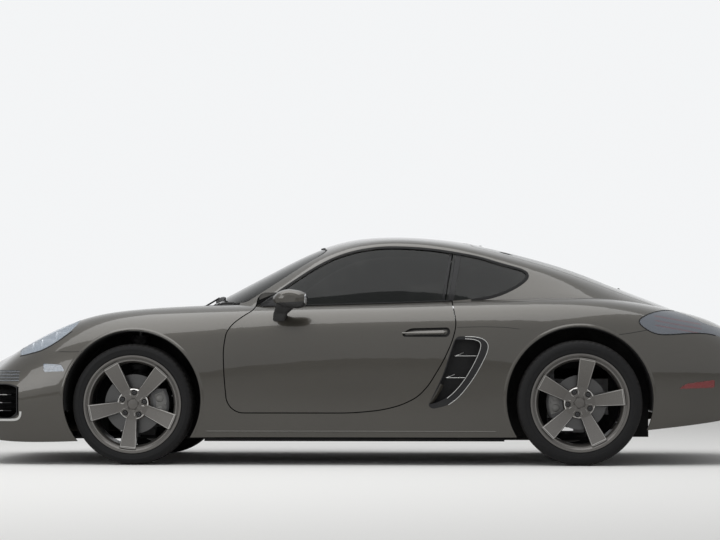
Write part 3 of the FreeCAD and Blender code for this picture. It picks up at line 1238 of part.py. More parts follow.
def build_mirrors(skins):
    """Door mirrors: a rounded housing that swells and closes again outwards, on a splayed foot."""
    centre_x, centre_z = MIRROR_CENTRE
    wires = []
    for y, scale in MIRROR_SECTIONS:
        outline = [(centre_x + scale * (x - centre_x), centre_z + scale * (z - centre_z))
                   for x, z in MIRROR_OUTLINE]
        wires.append(soft_wire([Vector(place(x), spread(y), z) for x, z in outline]))
    housing = Part.makeLoft(wires, True, True)
    levels = []
    for z, x0, x1, y0, y1 in MIRROR_FOOT:
        corners = [(x0, y0), (x0, y1), (x1, y1), (x1, y0)]
        levels.append(soft_wire([Vector(place(x), spread(y), z) for x, y in corners], 0.3))
    foot = Part.makeLoft(levels, True, True)
    mirror = largest(housing.fuse(foot).cut(skins.raised))
    return {"mirror_left": mirror, "mirror_right": mirrored(mirror)}


def write(parts):
    """One STEP file per node."""
    os.makedirs("parts", exist_ok=True)
    for name in sorted(parts):
        shape = parts[name]
        solids = shape.Solids
        whole = solids[0] if len(solids) == 1 else Part.makeCompound(solids)
        whole.exportStep(os.path.join("parts", name + ".step"))


def main():
    """Build every node and write it."""
    skins = Skins()
    parts = build_body(skins)
    parts.update(build_structure(skins))
    parts.update(build_wheels())
    parts.update(build_running_gear())
    parts.update(build_cabin())
    parts.update(build_mirrors(skins))
    parts.update(build_lamps(skins))
    parts.update(build_nose(skins))
    parts.update(build_tail(skins))
    parts.update(build_wipers(skins))
    for name, shape in sorted(parts.items()):
        if not shape.isValid() or len(shape.Solids) != 1:
            print(name, shape.isValid(), [round(solid.Volume / 1e6, 3) for solid in shape.Solids])
    write(parts)


if __name__ == "__main__":
    main()
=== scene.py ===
"""Looks of the mid-engined two-seat coupe: its finishes, its soft goods and its fine detail.

Frame: +X forwards, +Y to the car's left, +Z up, metres. The origin is on the ground at the
middle of the car's length.
"""

import logging
import math
from dataclasses import dataclass
from enum import Enum
from typing import Optional, Sequence, Union

import bmesh
import bpy
import numpy as np
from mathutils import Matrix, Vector
from mathutils.bvhtree import BVHTree


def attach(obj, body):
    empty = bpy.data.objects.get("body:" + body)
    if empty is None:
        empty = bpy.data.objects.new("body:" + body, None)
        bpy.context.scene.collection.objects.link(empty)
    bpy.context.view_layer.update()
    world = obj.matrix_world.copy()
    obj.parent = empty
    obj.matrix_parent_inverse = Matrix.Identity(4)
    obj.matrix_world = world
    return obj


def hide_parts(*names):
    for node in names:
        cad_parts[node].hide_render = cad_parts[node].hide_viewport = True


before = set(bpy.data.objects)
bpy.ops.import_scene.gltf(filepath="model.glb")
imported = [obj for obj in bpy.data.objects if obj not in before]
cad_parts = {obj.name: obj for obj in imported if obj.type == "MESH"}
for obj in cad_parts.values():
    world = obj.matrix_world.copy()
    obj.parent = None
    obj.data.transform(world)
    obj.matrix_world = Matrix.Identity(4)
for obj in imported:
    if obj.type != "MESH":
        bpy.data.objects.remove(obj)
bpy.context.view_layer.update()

LOG = logging.getLogger("coupe")
Triple = tuple[float, float, float]
Colour = Triple
Plan = Sequence[tuple[float, float]]


class Number:
    """A number that varies over a surface; arithmetic on it adds Math nodes."""

    def __init__(self, graph: "Graph", socket: bpy.types.NodeSocket) -> None:
        """Wraps an output socket of a graph."""
        self.graph = graph
        self.socket = socket

    def _math(self, operation: str, *terms: Union["Number", float]) -> "Number":
        """One Math node over the terms."""
        node = self.graph.node("ShaderNodeMath", {"operation": operation}, dict(enumerate(terms)))
        return Number(self.graph, node.outputs[0])

    def __add__(self, other: Union["Number", float]) -> "Number":
        """Sum."""
        return self._math("ADD", self, other)

    __radd__ = __add__

    def __sub__(self, other: Union["Number", float]) -> "Number":
        """Difference."""
        return self._math("SUBTRACT", self, other)

    def __rsub__(self, other: float) -> "Number":
        """A plain number less this one."""
        return self._math("SUBTRACT", other, self)

    def __mul__(self, other: Union["Number", float]) -> "Number":
        """Product."""
        return self._math("MULTIPLY", self, other)

    __rmul__ = __mul__

    def __truediv__(self, other: Union["Number", float]) -> "Number":
        """Quotient."""
        return self._math("DIVIDE", self, other)

    def __rtruediv__(self, other: float) -> "Number":
        """A plain number over this one."""
        return self._math("DIVIDE", other, self)

    def __pow__(self, other: float) -> "Number":
        """Power."""
        return self._math("POWER", self, other)

    def __gt__(self, other: float) -> "Number":
        """1 where this is larger, else 0."""
        return self._math("GREATER_THAN", self, other)

    def __lt__(self, other: float) -> "Number":
        """1 where this is smaller, else 0."""
        return self._math("LESS_THAN", self, other)

    def apply(self, operation: str, *others: Union["Number", float]) -> "Number":
        """Another operation of the Math node, such as SINE or MAXIMUM."""
        return self._math(operation, self, *others)

    def step(self, low: float, high: float) -> "Number":
        """Smooth rise from 0 at low to 1 at high.

        Args:
            low: value at which the rise starts.
            high: value at which it ends.

        Returns:
            The eased share between the two.
        """
        node = self.graph.node("ShaderNodeMapRange", {"interpolation_type": "SMOOTHSTEP"},
                               {"Value": self, "From Min": low, "From Max": high})
        return Number(self.graph, node.outputs["Result"])


Level = Union[Number, float]


class Graph:
    """Node tree of one material, with the few calls that the finishes are written in."""

    def __init__(self, name: str) -> None:
        """Starts an empty material of that name."""
        self.material = bpy.data.materials.new(name)
        self.material.use_nodes = True
        self.tree = self.material.node_tree
        self.tree.nodes.clear()
        self.out = self.tree.nodes.new("ShaderNodeOutputMaterial")

    def node(self, kind: str, settings: Optional[dict] = None,
             inputs: Optional[dict] = None) -> bpy.types.Node:
        """Adds a node.

        Args:
            kind: the node's type.
            settings: its properties, set before its sockets.
            inputs: socket name or number, to a value, a Number or another node's socket.

        Returns:
            The new node.
        """
        made = self.tree.nodes.new(kind)
        for key, value in (settings or {}).items():
            setattr(made, key, value)
        for key, value in (inputs or {}).items():
            if isinstance(value, Number):
                value = value.socket
            if isinstance(value, bpy.types.NodeSocket):
                self.tree.links.new(value, made.inputs[key])
            else:
                made.inputs[key].default_value = value
        return made

    def place(self) -> bpy.types.NodeSocket:
        """Object coordinates, in metres."""
        return self.node("ShaderNodeTexCoord").outputs["Object"]

    def axes(self, socket: Optional[bpy.types.NodeSocket] = None) -> tuple[Number, Number, Number]:
        """The three numbers of a vector, or of the object coordinates."""
        split = self.node("ShaderNodeSeparateXYZ", inputs={0: socket or self.place()})
        return Number(self, split.outputs[0]), Number(self, split.outputs[1]), Number(self, split.outputs[2])

    def facing(self) -> tuple[Number, Number, Number]:
        """The three numbers of the surface's direction."""
        return self.axes(self.node("ShaderNodeTexCoord").outputs["Normal"])

    def noise(self, scale: float, detail: float = 3.0, roughness: float = 0.5,
              where: Optional[bpy.types.NodeSocket] = None) -> Number:
        """Soft noise from 0 to 1.

        Args:
            scale: waves a metre.
            detail: number of finer layers.
            roughness: share that each finer layer keeps.
            where: coordinates other than the object's own.

        Returns:
            The noise.
        """
        made = self.node("ShaderNodeTexNoise", {"noise_dimensions": "3D"}, {
            "Vector": where or self.place(), "Scale": scale, "Detail": detail, "Roughness": roughness})
        return Number(self, made.outputs[0])

    def cells(self, scale: float, feature: str = "F1") -> Number:
        """Distance inside Voronoi cells, with so many cells a metre."""
        made = self.node("ShaderNodeTexVoronoi", {"feature": feature},
                         {"Vector": self.place(), "Scale": scale})
        return Number(self, made.outputs["Distance"])

    def stretched(self, factors: Triple) -> bpy.types.NodeSocket:
        """Object coordinates multiplied axis by axis, for grain that runs one way."""
        made = self.node("ShaderNodeVectorMath", {"operation": "MULTIPLY"}, {0: self.place(), 1: factors})
        return made.outputs[0]

    def mix(self, share: Level, first: Union[Colour, bpy.types.NodeSocket],
            second: Union[Colour, bpy.types.NodeSocket]) -> bpy.types.NodeSocket:
        """Colour between two colours.

        Args:
            share: 0 for the first colour, 1 for the second.
            first: a colour, or another node's colour socket.
            second: the same.

        Returns:
            The mixed colour's socket.
        """
        rgba = [(*c, 1.0) if isinstance(c, tuple) else c for c in (first, second)]
        made = self.node("ShaderNodeMix", {"data_type": "RGBA"}, {0: share, 6: rgba[0], 7: rgba[1]})
        return made.outputs[2]

    def bump(self, height: Number, depth: float, strength: float = 1.0) -> bpy.types.NodeSocket:
        """Normal of a surface raised by height times depth, in metres."""
        made = self.node("ShaderNodeBump", inputs={"Height": height, "Distance": depth, "Strength": strength})
        return made.outputs[0]

    def shade(self, **inputs: object) -> bpy.types.Material:
        """Ends the material in one Principled shader.

        Args:
            **inputs: socket names with underscores for spaces, to values or links.

        Returns:
            The finished material.
        """
        named = {key.replace("_", " "): value for key, value in inputs.items()}
        if isinstance(named.get("Base Color"), tuple):
            named["Base Color"] = (*named["Base Color"], 1.0)
        if isinstance(named.get("Emission Color"), tuple):
            named["Emission Color"] = (*named["Emission Color"], 1.0)
        shader = self.node("ShaderNodeBsdfPrincipled", inputs=named)
        self.tree.links.new(shader.outputs[0], self.out.inputs[0])
        return self.material


@dataclass(frozen=True)
class Finish:
    """A finish with a name; each kind says how its material is built."""

    name: str

    def build(self) -> bpy.types.Material:
        """Makes the material."""
        raise NotImplementedError

    def material(self) -> bpy.types.Material:
        """The material, made once."""
        return bpy.data.materials.get(self.name) or self.build()


@dataclass(frozen=True)
class CarPaint(Finish):
    """Metallic paint under clear lacquer: flakes, a little cloudiness, dust and orange peel.

    Round the doors it is black on what faces the inside of the car, and black as painted shade on the walls
    of the gaps.
    """

    base: Colour = (0.0315, 0.0283, 0.0226)
    flake: Colour = (0.112, 0.101, 0.081)
    black: Colour = (0.012, 0.012, 0.012)
    metallic: float = 0.6
    roughness: float = 0.34
    lacquer: float = 0.97
    flakes_a_metre: float = 1900.0
    doorway_x: tuple[float, float] = (-0.6, 0.8)
    flank_y: tuple[float, float] = (0.5, 0.56)
    inward_top: float = 0.84
    gap_shade_top: float = 0.97

    def build(self) -> bpy.types.Material:
        """Flake share is the third power of 1 less the distance in fine cells; the bump is low noise.

        Returns:
            The finished material.
        """
        g = Graph(self.name)
        flakes = (1.0 - g.cells(self.flakes_a_metre)).apply("MAXIMUM", 0.0) ** 3.0
        cloud = g.noise(2.2, 2.0)
        # black share: the inner side in black, and painted shade on the walls of the door gaps
        dark = self.black_share(g)
        colour = g.mix(flakes * 0.5 + cloud * 0.12, self.base, self.flake)
        dust = g.noise(38.0, 5.0, 0.65).step(0.52, 0.8)
        return g.shade(Base_Color=g.mix(dark, colour, self.black),
                       Metallic=self.metallic * (1.0 - dark),
                       Roughness=self.roughness + flakes * 0.1 + dark * 0.15,
                       Coat_Weight=(self.lacquer - dust * 0.12) * (1.0 - dark),
                       Coat_Roughness=0.035, Coat_IOR=1.5,
                       Normal=g.bump(g.noise(260.0, 2.0), 0.00004, 0.5))

    def black_share(self, g: Graph) -> Number:
        """Share of black in the doorway: what faces inwards, and, as painted shade on the gaps' walls, what
        faces forwards or rearwards.

        Args:
            g: the graph that is being built.

        Returns:
            1 where the surface is black, 0 where it is painted.
        """
        x, y, z = g.axes()
        along, across, _ = g.facing()
        sideways = across * y.apply("SIGN")
        flank = y.apply("ABSOLUTE").step(*self.flank_y)
        inward = (1.0 - sideways.step(0.2, 0.35)) * (z < self.inward_top)
        # painted shade: what faces forwards or rearwards here is the walls of the door gaps
        gap_wall_shade = (along.apply("ABSOLUTE") > 0.8) * (z < self.gap_shade_top)
        doorway = (x > self.doorway_x[0]) * (x < self.doorway_x[1])
        return flank * doorway * inward.apply("MAXIMUM", gap_wall_shade)


@dataclass(frozen=True)
class DoorPaint(CarPaint):
    """Door: painted outside, with the inner side in black and black painted shade in the handle's recess."""

    recess_shade_x: tuple[float, float] = (-0.522, -0.234)
    recess_shade_z: tuple[float, float] = (0.707, 0.763)
    skin_y: float = 0.8635

    def black_share(self, g: Graph) -> Number:
        """Painted shade in a box round the handle's recess, behind the skin, together with what faces
        inwards.

        Args:
            g: the graph that is being built.

        Returns:
            1 where the surface is black, 0 where it is painted.
        """
        x, y, z = g.axes()
        # painted shade: the handle's recess behind the skin is black
        inside = (x > self.recess_shade_x[0]) * (x < self.recess_shade_x[1])
        inside = inside * (z > self.recess_shade_z[0]) * (z < self.recess_shade_z[1])
        deep = y.apply("ABSOLUTE") < self.skin_y
        return (inside * deep).apply("MAXIMUM", super().black_share(g))


@dataclass(frozen=True)
class MirrorPaint(CarPaint):
    """Mirror housing: painted cap over a black lower shell and foot."""

    edge_x: float = 0.36
    edge_z: float = 0.9
    edge_rise: float = 0.06
    inner_y: float = 0.862

    def black_share(self, g: Graph) -> Number:
        """Black below the cap's edge, which rises a little rearwards, and on the foot.

        Args:
            g: the graph that is being built.

        Returns:
            1 where the surface is black, 0 where it is painted.
        """
        x, y, z = g.axes()
        low = (z + (x - self.edge_x) * self.edge_rise) < self.edge_z
        return low.apply("MAXIMUM", y.apply("ABSOLUTE") < self.inner_y)


@dataclass(frozen=True)
class Glass(Finish):
    """Tinted or clear glass that lets some of what is behind it through."""

    tint: Colour = (0.015, 0.018, 0.017)
    opacity: float = 0.72
    roughness: float = 0.02
    shine: float = 0.3
    dust: Colour = (0.3, 0.3, 0.28)
    dust_share: float = 0.03

    def tinted(self, g: Graph) -> Union[Colour, bpy.types.NodeSocket]:
        """Colour of the glass itself."""
        return self.tint

    def build(self) -> bpy.types.Material:
        """Opacity is even apart from a thin film of dust.

        Returns:
            The finished material.
        """
        g = Graph(self.name)
        film = g.noise(9.0, 4.0, 0.6).step(0.45, 0.85)
        colour = g.mix(film * self.dust_share, self.tinted(g), self.dust)
        made = g.shade(Base_Color=colour, Roughness=self.roughness + film * self.dust_share, IOR=1.5,
                       Alpha=self.opacity + film * self.dust_share, Specular_IOR_Level=self.shine)
        made.use_transparent_shadow = True
        return made


@dataclass(frozen=True)
class RearLens(Glass):
    """Smoked lamp cover above, tinted bluish as painted sky reflection, with three lit bars behind it, and a
    red reflector below.
    """

    red: Colour = (0.2, 0.004, 0.006)
    split_z: float = 0.6
    bars: tuple[float, ...] = (0.756, 0.782, 0.808)
    bar_x: float = -1.75
    bar_tilt: float = 0.18
    bar_half: tuple[float, float] = (0.0016, 0.0032)
    bar_rear: tuple[float, float] = (-1.92, -1.9)
    bar_front: tuple[float, float] = (-1.66, -1.64)
    bar_share: float = 0.5

    def tinted(self, g: Graph) -> bpy.types.NodeSocket:
        """Red below the split; above it, thin red bars at set heights that tilt down rearwards.

        Args:
            g: the graph that is being built.

        Returns:
            The colour's socket.
        """
        x, _, z = g.axes()
        tilted = z - (x - self.bar_x) * self.bar_tilt
        bars: Level = 0.0
        for height in self.bars:
            bars = 1.0 - (tilted - height).apply("ABSOLUTE").step(*self.bar_half) + bars
        bars = bars.apply("MINIMUM", 1.0) * x.step(*self.bar_rear) * (1.0 - x.step(*self.bar_front))
        above = g.mix(bars * self.bar_share, self.tint, self.red)
        return g.mix(z > self.split_z, self.red, above)


@dataclass(frozen=True)
class FrontLens(Glass):
    """Clear lamp cover, with the daytime strip below it smoked and crossed by fine lines."""

    smoke: Colour = (0.06, 0.065, 0.07)
    strip_top: float = 0.54
    strip_x: float = 1.8
    pitch: float = 0.017

    def tinted(self, g: Graph) -> bpy.types.NodeSocket:
        """The strip lies below its top and ahead of its rear end; a line crosses it once a pitch.

        Args:
            g: the graph that is being built.

        Returns:
            The colour's socket.
        """
        x, _, z = g.axes()
        line = 1.0 - ((z / self.pitch).apply("FRACT") - 0.5).apply("ABSOLUTE").step(0.05, 0.12)
        strip = (z < self.strip_top) * (x > self.strip_x)
        return g.mix(strip, self.tint, g.mix(line * 0.7, self.smoke, self.tint))


@dataclass(frozen=True)
class Plastic(Finish):
    """Moulded plastic or rubber with a fine grain."""

    colour: Colour = (0.02, 0.02, 0.021)
    worn: Colour = (0.05, 0.049, 0.046)
    roughness: float = 0.5
    grain: float = 900.0
    depth: float = 0.00012
    shine: float = 0.2

    def build(self) -> bpy.types.Material:
        """Grain is rounded cells; colour fades a little in broad patches.

        Returns:
            The finished material.
        """
        g = Graph(self.name)
        patch = g.noise(7.0, 5.0, 0.6).step(0.4, 0.8)
        fine = g.noise(90.0, 4.0)
        return g.shade(Base_Color=g.mix(patch * 0.35 + fine * 0.12, self.colour, self.worn),
                       Roughness=self.roughness + fine * 0.14 - patch * 0.05, Specular_IOR_Level=self.shine,
                       Normal=g.bump(g.cells(self.grain), self.depth, 0.6))


@dataclass(frozen=True)
class Metal(Finish):
    """Bare or painted metal with brushing or casting texture."""

    colour: Colour = (0.5, 0.5, 0.51)
    stain: Colour = (0.22, 0.2, 0.18)
    stain_share: float = 0.2
    metallic: float = 1.0
    roughness: float = 0.3
    texture: float = 300.0
    depth: float = 0.00006
    stretch: Triple = (1.0, 1.0, 1.0)

    def build(self) -> bpy.types.Material:
        """Texture is noise, stretched where the metal is brushed; stains gather in patches.

        Returns:
            The finished material.
        """
        g = Graph(self.name)
        fine = g.noise(self.texture, 4.0, 0.6, g.stretched(self.stretch))
        stain = g.noise(16.0, 6.0, 0.7).step(0.45, 0.8)
        return g.shade(Base_Color=g.mix(stain * self.stain_share + fine * 0.08, self.colour, self.stain),
                       Metallic=self.metallic - stain * (0.25 * self.stain_share),
                       Roughness=self.roughness + fine * 0.12 + stain * 0.1,
                       Normal=g.bump(fine, self.depth, 0.6))


@dataclass(frozen=True)
class WheelPaint(Finish):
    """Satin silver-grey wheel paint with fine flakes and brake dust, and painted highlights on the bevels, on
    the pockets' walls and on the lip's edges.

    Distances are from the axle. A spoke's half width is hub_half at hub_reach, and grows by
    widening a metre; a painted highlight line lies on that border, with a painted highlight end line across
    the spoke's outer end.
    """

    centre: tuple[float, float] = (0.0, 0.0)
    first_spoke: float = 0.0
    spoke_turn: float = 72.0
    hub_reach: float = 0.086
    hub_half: float = 0.0285
    widening: float = 0.0145 / 0.161
    line_half: tuple[float, float] = (0.0006, 0.0018)
    line_start: tuple[float, float] = (0.088, 0.096)
    line_end: float = 0.2385
    end_line: float = 0.2375
    pocket_start: float = 0.045
    pocket_end: tuple[float, float] = (0.086, 0.1)
    ring_middle: float = 0.2575
    ring_reach: float = 0.0125
    barrel: float = 0.247
    base: Colour = (0.105, 0.099, 0.092)
    flake: Colour = (0.27, 0.26, 0.245)
    dust: Colour = (0.03, 0.026, 0.023)
    bright: Colour = (0.62, 0.61, 0.59)

    def build(self) -> bpy.types.Material:
        """Dust fades with the distance from the axle; across a spoke, aside = away x sin(angle).

        Returns:
            The finished material.
        """
        g = Graph(self.name)
        x, _, z = g.axes()
        x, z = x - self.centre[0], z - self.centre[1]
        away = (x ** 2.0 + z ** 2.0) ** 0.5
        pitch, half_pitch = math.radians(self.spoke_turn), math.radians(self.spoke_turn / 2)
        turn = z.apply("ARCTAN2", x) - math.radians(self.first_spoke - self.spoke_turn / 2)
        from_spoke = (turn / pitch).apply("FRACT") * pitch - half_pitch
        aside = (away * from_spoke.apply("SINE")).apply("ABSOLUTE")
        along = away * from_spoke.apply("COSINE")
        edge = aside - (along - self.hub_reach) * self.widening - self.hub_half
        # painted highlights: light lines along the spokes' borders and across their ends, and rings on the
        # lip's edges
        line = (1.0 - edge.apply("ABSOLUTE").step(*self.line_half)) * away.step(*self.line_start)
        line = line * (along < self.line_end)
        end = (1.0 - (along - self.end_line).apply("ABSOLUTE").step(*self.line_half)) * (edge < 0.0)
        _, facing, _ = g.facing()
        # painted highlight: walls round the pockets near the hub, in the bright colour
        pocket = (facing.apply("ABSOLUTE") < 0.95) * (away > self.pocket_start)
        pocket = pocket * (1.0 - away.step(*self.pocket_end))
        from_ring = ((away - self.ring_middle).apply("ABSOLUTE") - self.ring_reach).apply("ABSOLUTE")
        rings = 1.0 - from_ring.step(0.0004, 0.0014)
        light = (line + end + rings * 0.6).apply("MINIMUM", 1.0) * 0.6
        dust = (1.0 - away.step(0.05, 0.24)) * 0.25 + g.noise(60.0, 5.0, 0.7).step(0.5, 0.9) * 0.2
        # darker beyond the barrel's radius, over the lip and the barrel
        dust = (dust + (away > self.barrel) * 0.35) * (1.0 - pocket)
        flakes = (1.0 - g.cells(2200.0)).apply("MAXIMUM", 0.0) ** 3.0
        # the painted highlights are mixed over the paint in the bright colour
        painted = g.mix(light.apply("MAXIMUM", pocket * 0.9),
                        g.mix(dust, g.mix(flakes * 0.5, self.base, self.flake), self.dust), self.bright)
        return g.shade(Base_Color=painted, Metallic=0.82,
                       Roughness=0.33 + dust * 0.3, Coat_Weight=0.5, Coat_Roughness=0.12,
                       Normal=g.bump(g.noise(700.0, 2.0), 0.00004, 0.5))


@dataclass(frozen=True)
class TurnedIron(Finish):
    """Brake disc: turned rings round the axle, with rust on the hat."""

    centre: tuple[float, float] = (0.0, 0.0)
    hat: float = 0.088
    ring_waves: float = 4200.0

    def build(self) -> bpy.types.Material:
        """Rings are a sine of the distance from the axle, broken by noise.

        Returns:
            The finished material.
        """
        g = Graph(self.name)
        x, _, z = g.axes()
        away = ((x - self.centre[0]) ** 2.0 + (z - self.centre[1]) ** 2.0) ** 0.5
        rings = (away * self.ring_waves).apply("SINE") * 0.5 + 0.5
        rust = (1.0 - away.step(self.hat, self.hat + 0.004)) * g.noise(45.0, 6.0, 0.7).step(0.2, 0.7)
        swept = g.mix(rings * 0.35 + g.noise(30.0, 4.0) * 0.2, (0.1, 0.1, 0.1), (0.05, 0.048, 0.046))
        return g.shade(Base_Color=g.mix(rust * 0.7, swept, (0.12, 0.07, 0.045)), Metallic=1.0 - rust * 0.7,
                       Roughness=0.32 + rust * 0.4, Normal=g.bump(rings, 0.00003, 0.5))


@dataclass(frozen=True)
class TyreRubber(Finish):
    """Tyre rubber with fine rings on the sidewall and a little road dust on the tread."""

    centre: tuple[float, float] = (0.0, 0.0)
    radius: float = 0.34
    ring_waves: float = 2600.0

    def build(self) -> bpy.types.Material:
        """Dust grows towards the tread; rings run round the sidewall.

        Returns:
            The finished material.
        """
        g = Graph(self.name)
        x, _, z = g.axes()
        away = ((x - self.centre[0]) ** 2.0 + (z - self.centre[1]) ** 2.0) ** 0.5
        dust = away.step(self.radius - 0.02, self.radius) * 0.3 + g.noise(50.0, 5.0, 0.7).step(0.4, 0.9) * 0.2
        rings = (away * self.ring_waves).apply("SINE") * 0.5 + 0.5
        return g.shade(Base_Color=g.mix(dust, (0.0065, 0.0065, 0.007), (0.03, 0.028, 0.026)),
                       Roughness=0.62 + dust * 0.2, Specular_IOR_Level=0.2,
                       Normal=g.bump(rings * 0.4 + g.noise(420.0, 3.0), 0.00012, 0.5))


@dataclass(frozen=True)
class Leather(Finish):
    """Leather: pebbled grain, soft creases and a slight shine where it is rubbed."""

    colour: Colour = (0.018, 0.0175, 0.018)
    worn: Colour = (0.045, 0.042, 0.04)

    def build(self) -> bpy.types.Material:
        """Grain is small cells; creases are the borders of larger cells.

        Returns:
            The finished material.
        """
        g = Graph(self.name)
        grain = g.cells(420.0, "SMOOTH_F1")
        crease = g.cells(60.0, "DISTANCE_TO_EDGE").step(0.0, 0.06)
        rub = g.noise(6.0, 3.0).step(0.4, 0.8)
        return g.shade(Base_Color=g.mix(rub * 0.4, self.colour, self.worn),
                       Roughness=0.52 - rub * 0.1 + grain * 0.1, Specular_IOR_Level=0.3,
                       Normal=g.bump(grain * 0.7 + crease * 0.3, 0.0004, 0.55))


@dataclass(frozen=True)
class Carpet(Finish):
    """Short cut pile."""

    colour: Colour = (0.012, 0.012, 0.013)

    def build(self) -> bpy.types.Material:
        """Pile is two noises at the size of the tufts.

        Returns:
            The finished material.
        """
        g = Graph(self.name)
        tufts = g.noise(900.0, 2.0) * 0.6 + g.cells(700.0) * 0.4
        return g.shade(Base_Color=g.mix(tufts, self.colour, (0.04, 0.04, 0.042)), Roughness=0.95,
                       Sheen_Weight=0.25, Normal=g.bump(tufts, 0.0012, 0.8))


class Side(Enum):
    """Side of the car, with its sign along +Y."""

    LEFT = 1
    RIGHT = -1

    @property
    def word(self) -> str:
        """The side in a piece's name."""
        return self.name.lower()


@dataclass(frozen=True)
class Axle:
    """Place and size of the wheels at one end of the car."""

    end: str
    x: float
    track: float
    radius: float
    width: float
    first_spoke: float

    def centre(self, side: Side) -> np.ndarray:
        """Wheel centre on one side."""
        return np.array([self.x, side.value * self.track / 2, self.radius])


AXLES = (
    Axle("front", 1.2445, 1.515, 0.336, 0.235, 132.0),
    Axle("rear", -1.2305, 1.532, 0.346, 0.265, 172.4),
)

PAINT = CarPaint("paint_metallic_grey")
DOOR_PAINT = DoorPaint("paint_door")
MIRROR_PAINT = MirrorPaint("paint_mirror")
CABIN_GLASS = Glass("glass_cabin", (0.004, 0.005, 0.0045), 0.9, 0.02, 0.22)
LENS_GLASS = FrontLens("glass_lens", (0.6, 0.68, 0.78), 0.3, 0.03, 0.9)
CLEAR_DOME = Glass("glass_dome", (0.8, 0.84, 0.88), 0.4, 0.02)
# the rear lens's bluish tint is painted sky reflection over smoked glass
REAR_LENS = RearLens("glass_rear_lens", (0.11, 0.125, 0.15), 0.78, 0.04, 1.0)
BLACK_TRIM = Plastic("trim_black", (0.014, 0.014, 0.015), (0.03, 0.03, 0.03), 0.42, 1100.0)
GLOSS_BLACK = Plastic("trim_gloss_black", (0.01, 0.01, 0.011), (0.016, 0.016, 0.017), 0.1, 1400.0, 0.00002)
SEAL = Plastic("seal_rubber", (0.007, 0.007, 0.0075), (0.02, 0.0195, 0.019), 0.6, 1500.0)
LINER = Plastic("liner_felt", (0.012, 0.012, 0.0125), (0.035, 0.033, 0.03), 0.9, 500.0, 0.0006)
UNDERBODY = Plastic("underbody_plastic", (0.016, 0.016, 0.017), (0.05, 0.046, 0.04), 0.75, 300.0, 0.0005)
DASH = Plastic("cabin_plastic", (0.02, 0.0195, 0.02), (0.035, 0.034, 0.034), 0.55, 1300.0, 0.0002)
HIDE = Leather("seat_leather")
PILE = Carpet("floor_carpet")
CAST = Metal("cast_metal", (0.12, 0.12, 0.122), (0.05, 0.042, 0.035), 0.55, 0.8, 0.5, 180.0, 0.0004)
ENGINE_ALLOY = Metal("engine_alloy", (0.34, 0.34, 0.345), (0.12, 0.11, 0.1), 0.5, 0.95, 0.45, 140.0, 0.0006)
STEEL = Metal("dark_steel", (0.06, 0.06, 0.062), (0.03, 0.026, 0.022), 0.4, 0.7, 0.5, 240.0, 0.0002)
CHROME = Metal("bright_trim", (0.72, 0.72, 0.73), (0.4, 0.39, 0.37), 0.1, 1.0, 0.1, 500.0, 0.00002)
SATIN = Metal("satin_trim", (0.5, 0.5, 0.49), (0.3, 0.29, 0.27), 0.1, 0.9, 0.32, 600.0, 0.00002)
MIRROR = Metal("mirror_glass", (0.85, 0.86, 0.88), (0.6, 0.6, 0.6), 0.02, 1.0, 0.01, 300.0, 0.0)
BOWL = Metal("lamp_bowl", (0.42, 0.43, 0.45), (0.25, 0.25, 0.27), 0.2, 0.8, 0.25, 350.0, 0.00006)
LIP = Metal("wheel_lip", (0.13, 0.124, 0.117), (0.07, 0.066, 0.062), 0.2, 0.85, 0.34, 600.0, 0.00003)
CALIPER = Metal("caliper_silver", (0.16, 0.158, 0.153), (0.07, 0.066, 0.06), 0.5, 0.8, 0.45, 160.0, 0.0003)
EXHAUST = Metal("exhaust_steel", (0.5, 0.49, 0.48), (0.16, 0.12, 0.08), 0.4, 1.0, 0.22, 260.0, 0.00005,
                (1, 8, 8))


def wheel_paint(axle: Axle) -> WheelPaint:
    """Wheel paint centred on one axle."""
    return WheelPaint(f"wheel_paint_{axle.end}", (axle.x, axle.radius), axle.first_spoke)


def disc_iron(axle: Axle) -> TurnedIron:
    """Disc finish centred on one axle."""
    return TurnedIron(f"disc_iron_{axle.end}", (axle.x, axle.radius))


def tyre_rubber(axle: Axle) -> TyreRubber:
    """Tyre finish centred on one axle."""
    return TyreRubber(f"tyre_rubber_{axle.end}", (axle.x, axle.radius), axle.radius)


def dress(node: str, finish: Finish) -> None:
    """Gives a CAD node its finish.

    Args:
        node: the node's name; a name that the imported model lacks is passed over.
        finish: what it is coated with.
    """
    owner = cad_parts.get(node)
    if owner is None:
        return
    owner.data.materials.clear()
    owner.data.materials.append(finish.material())


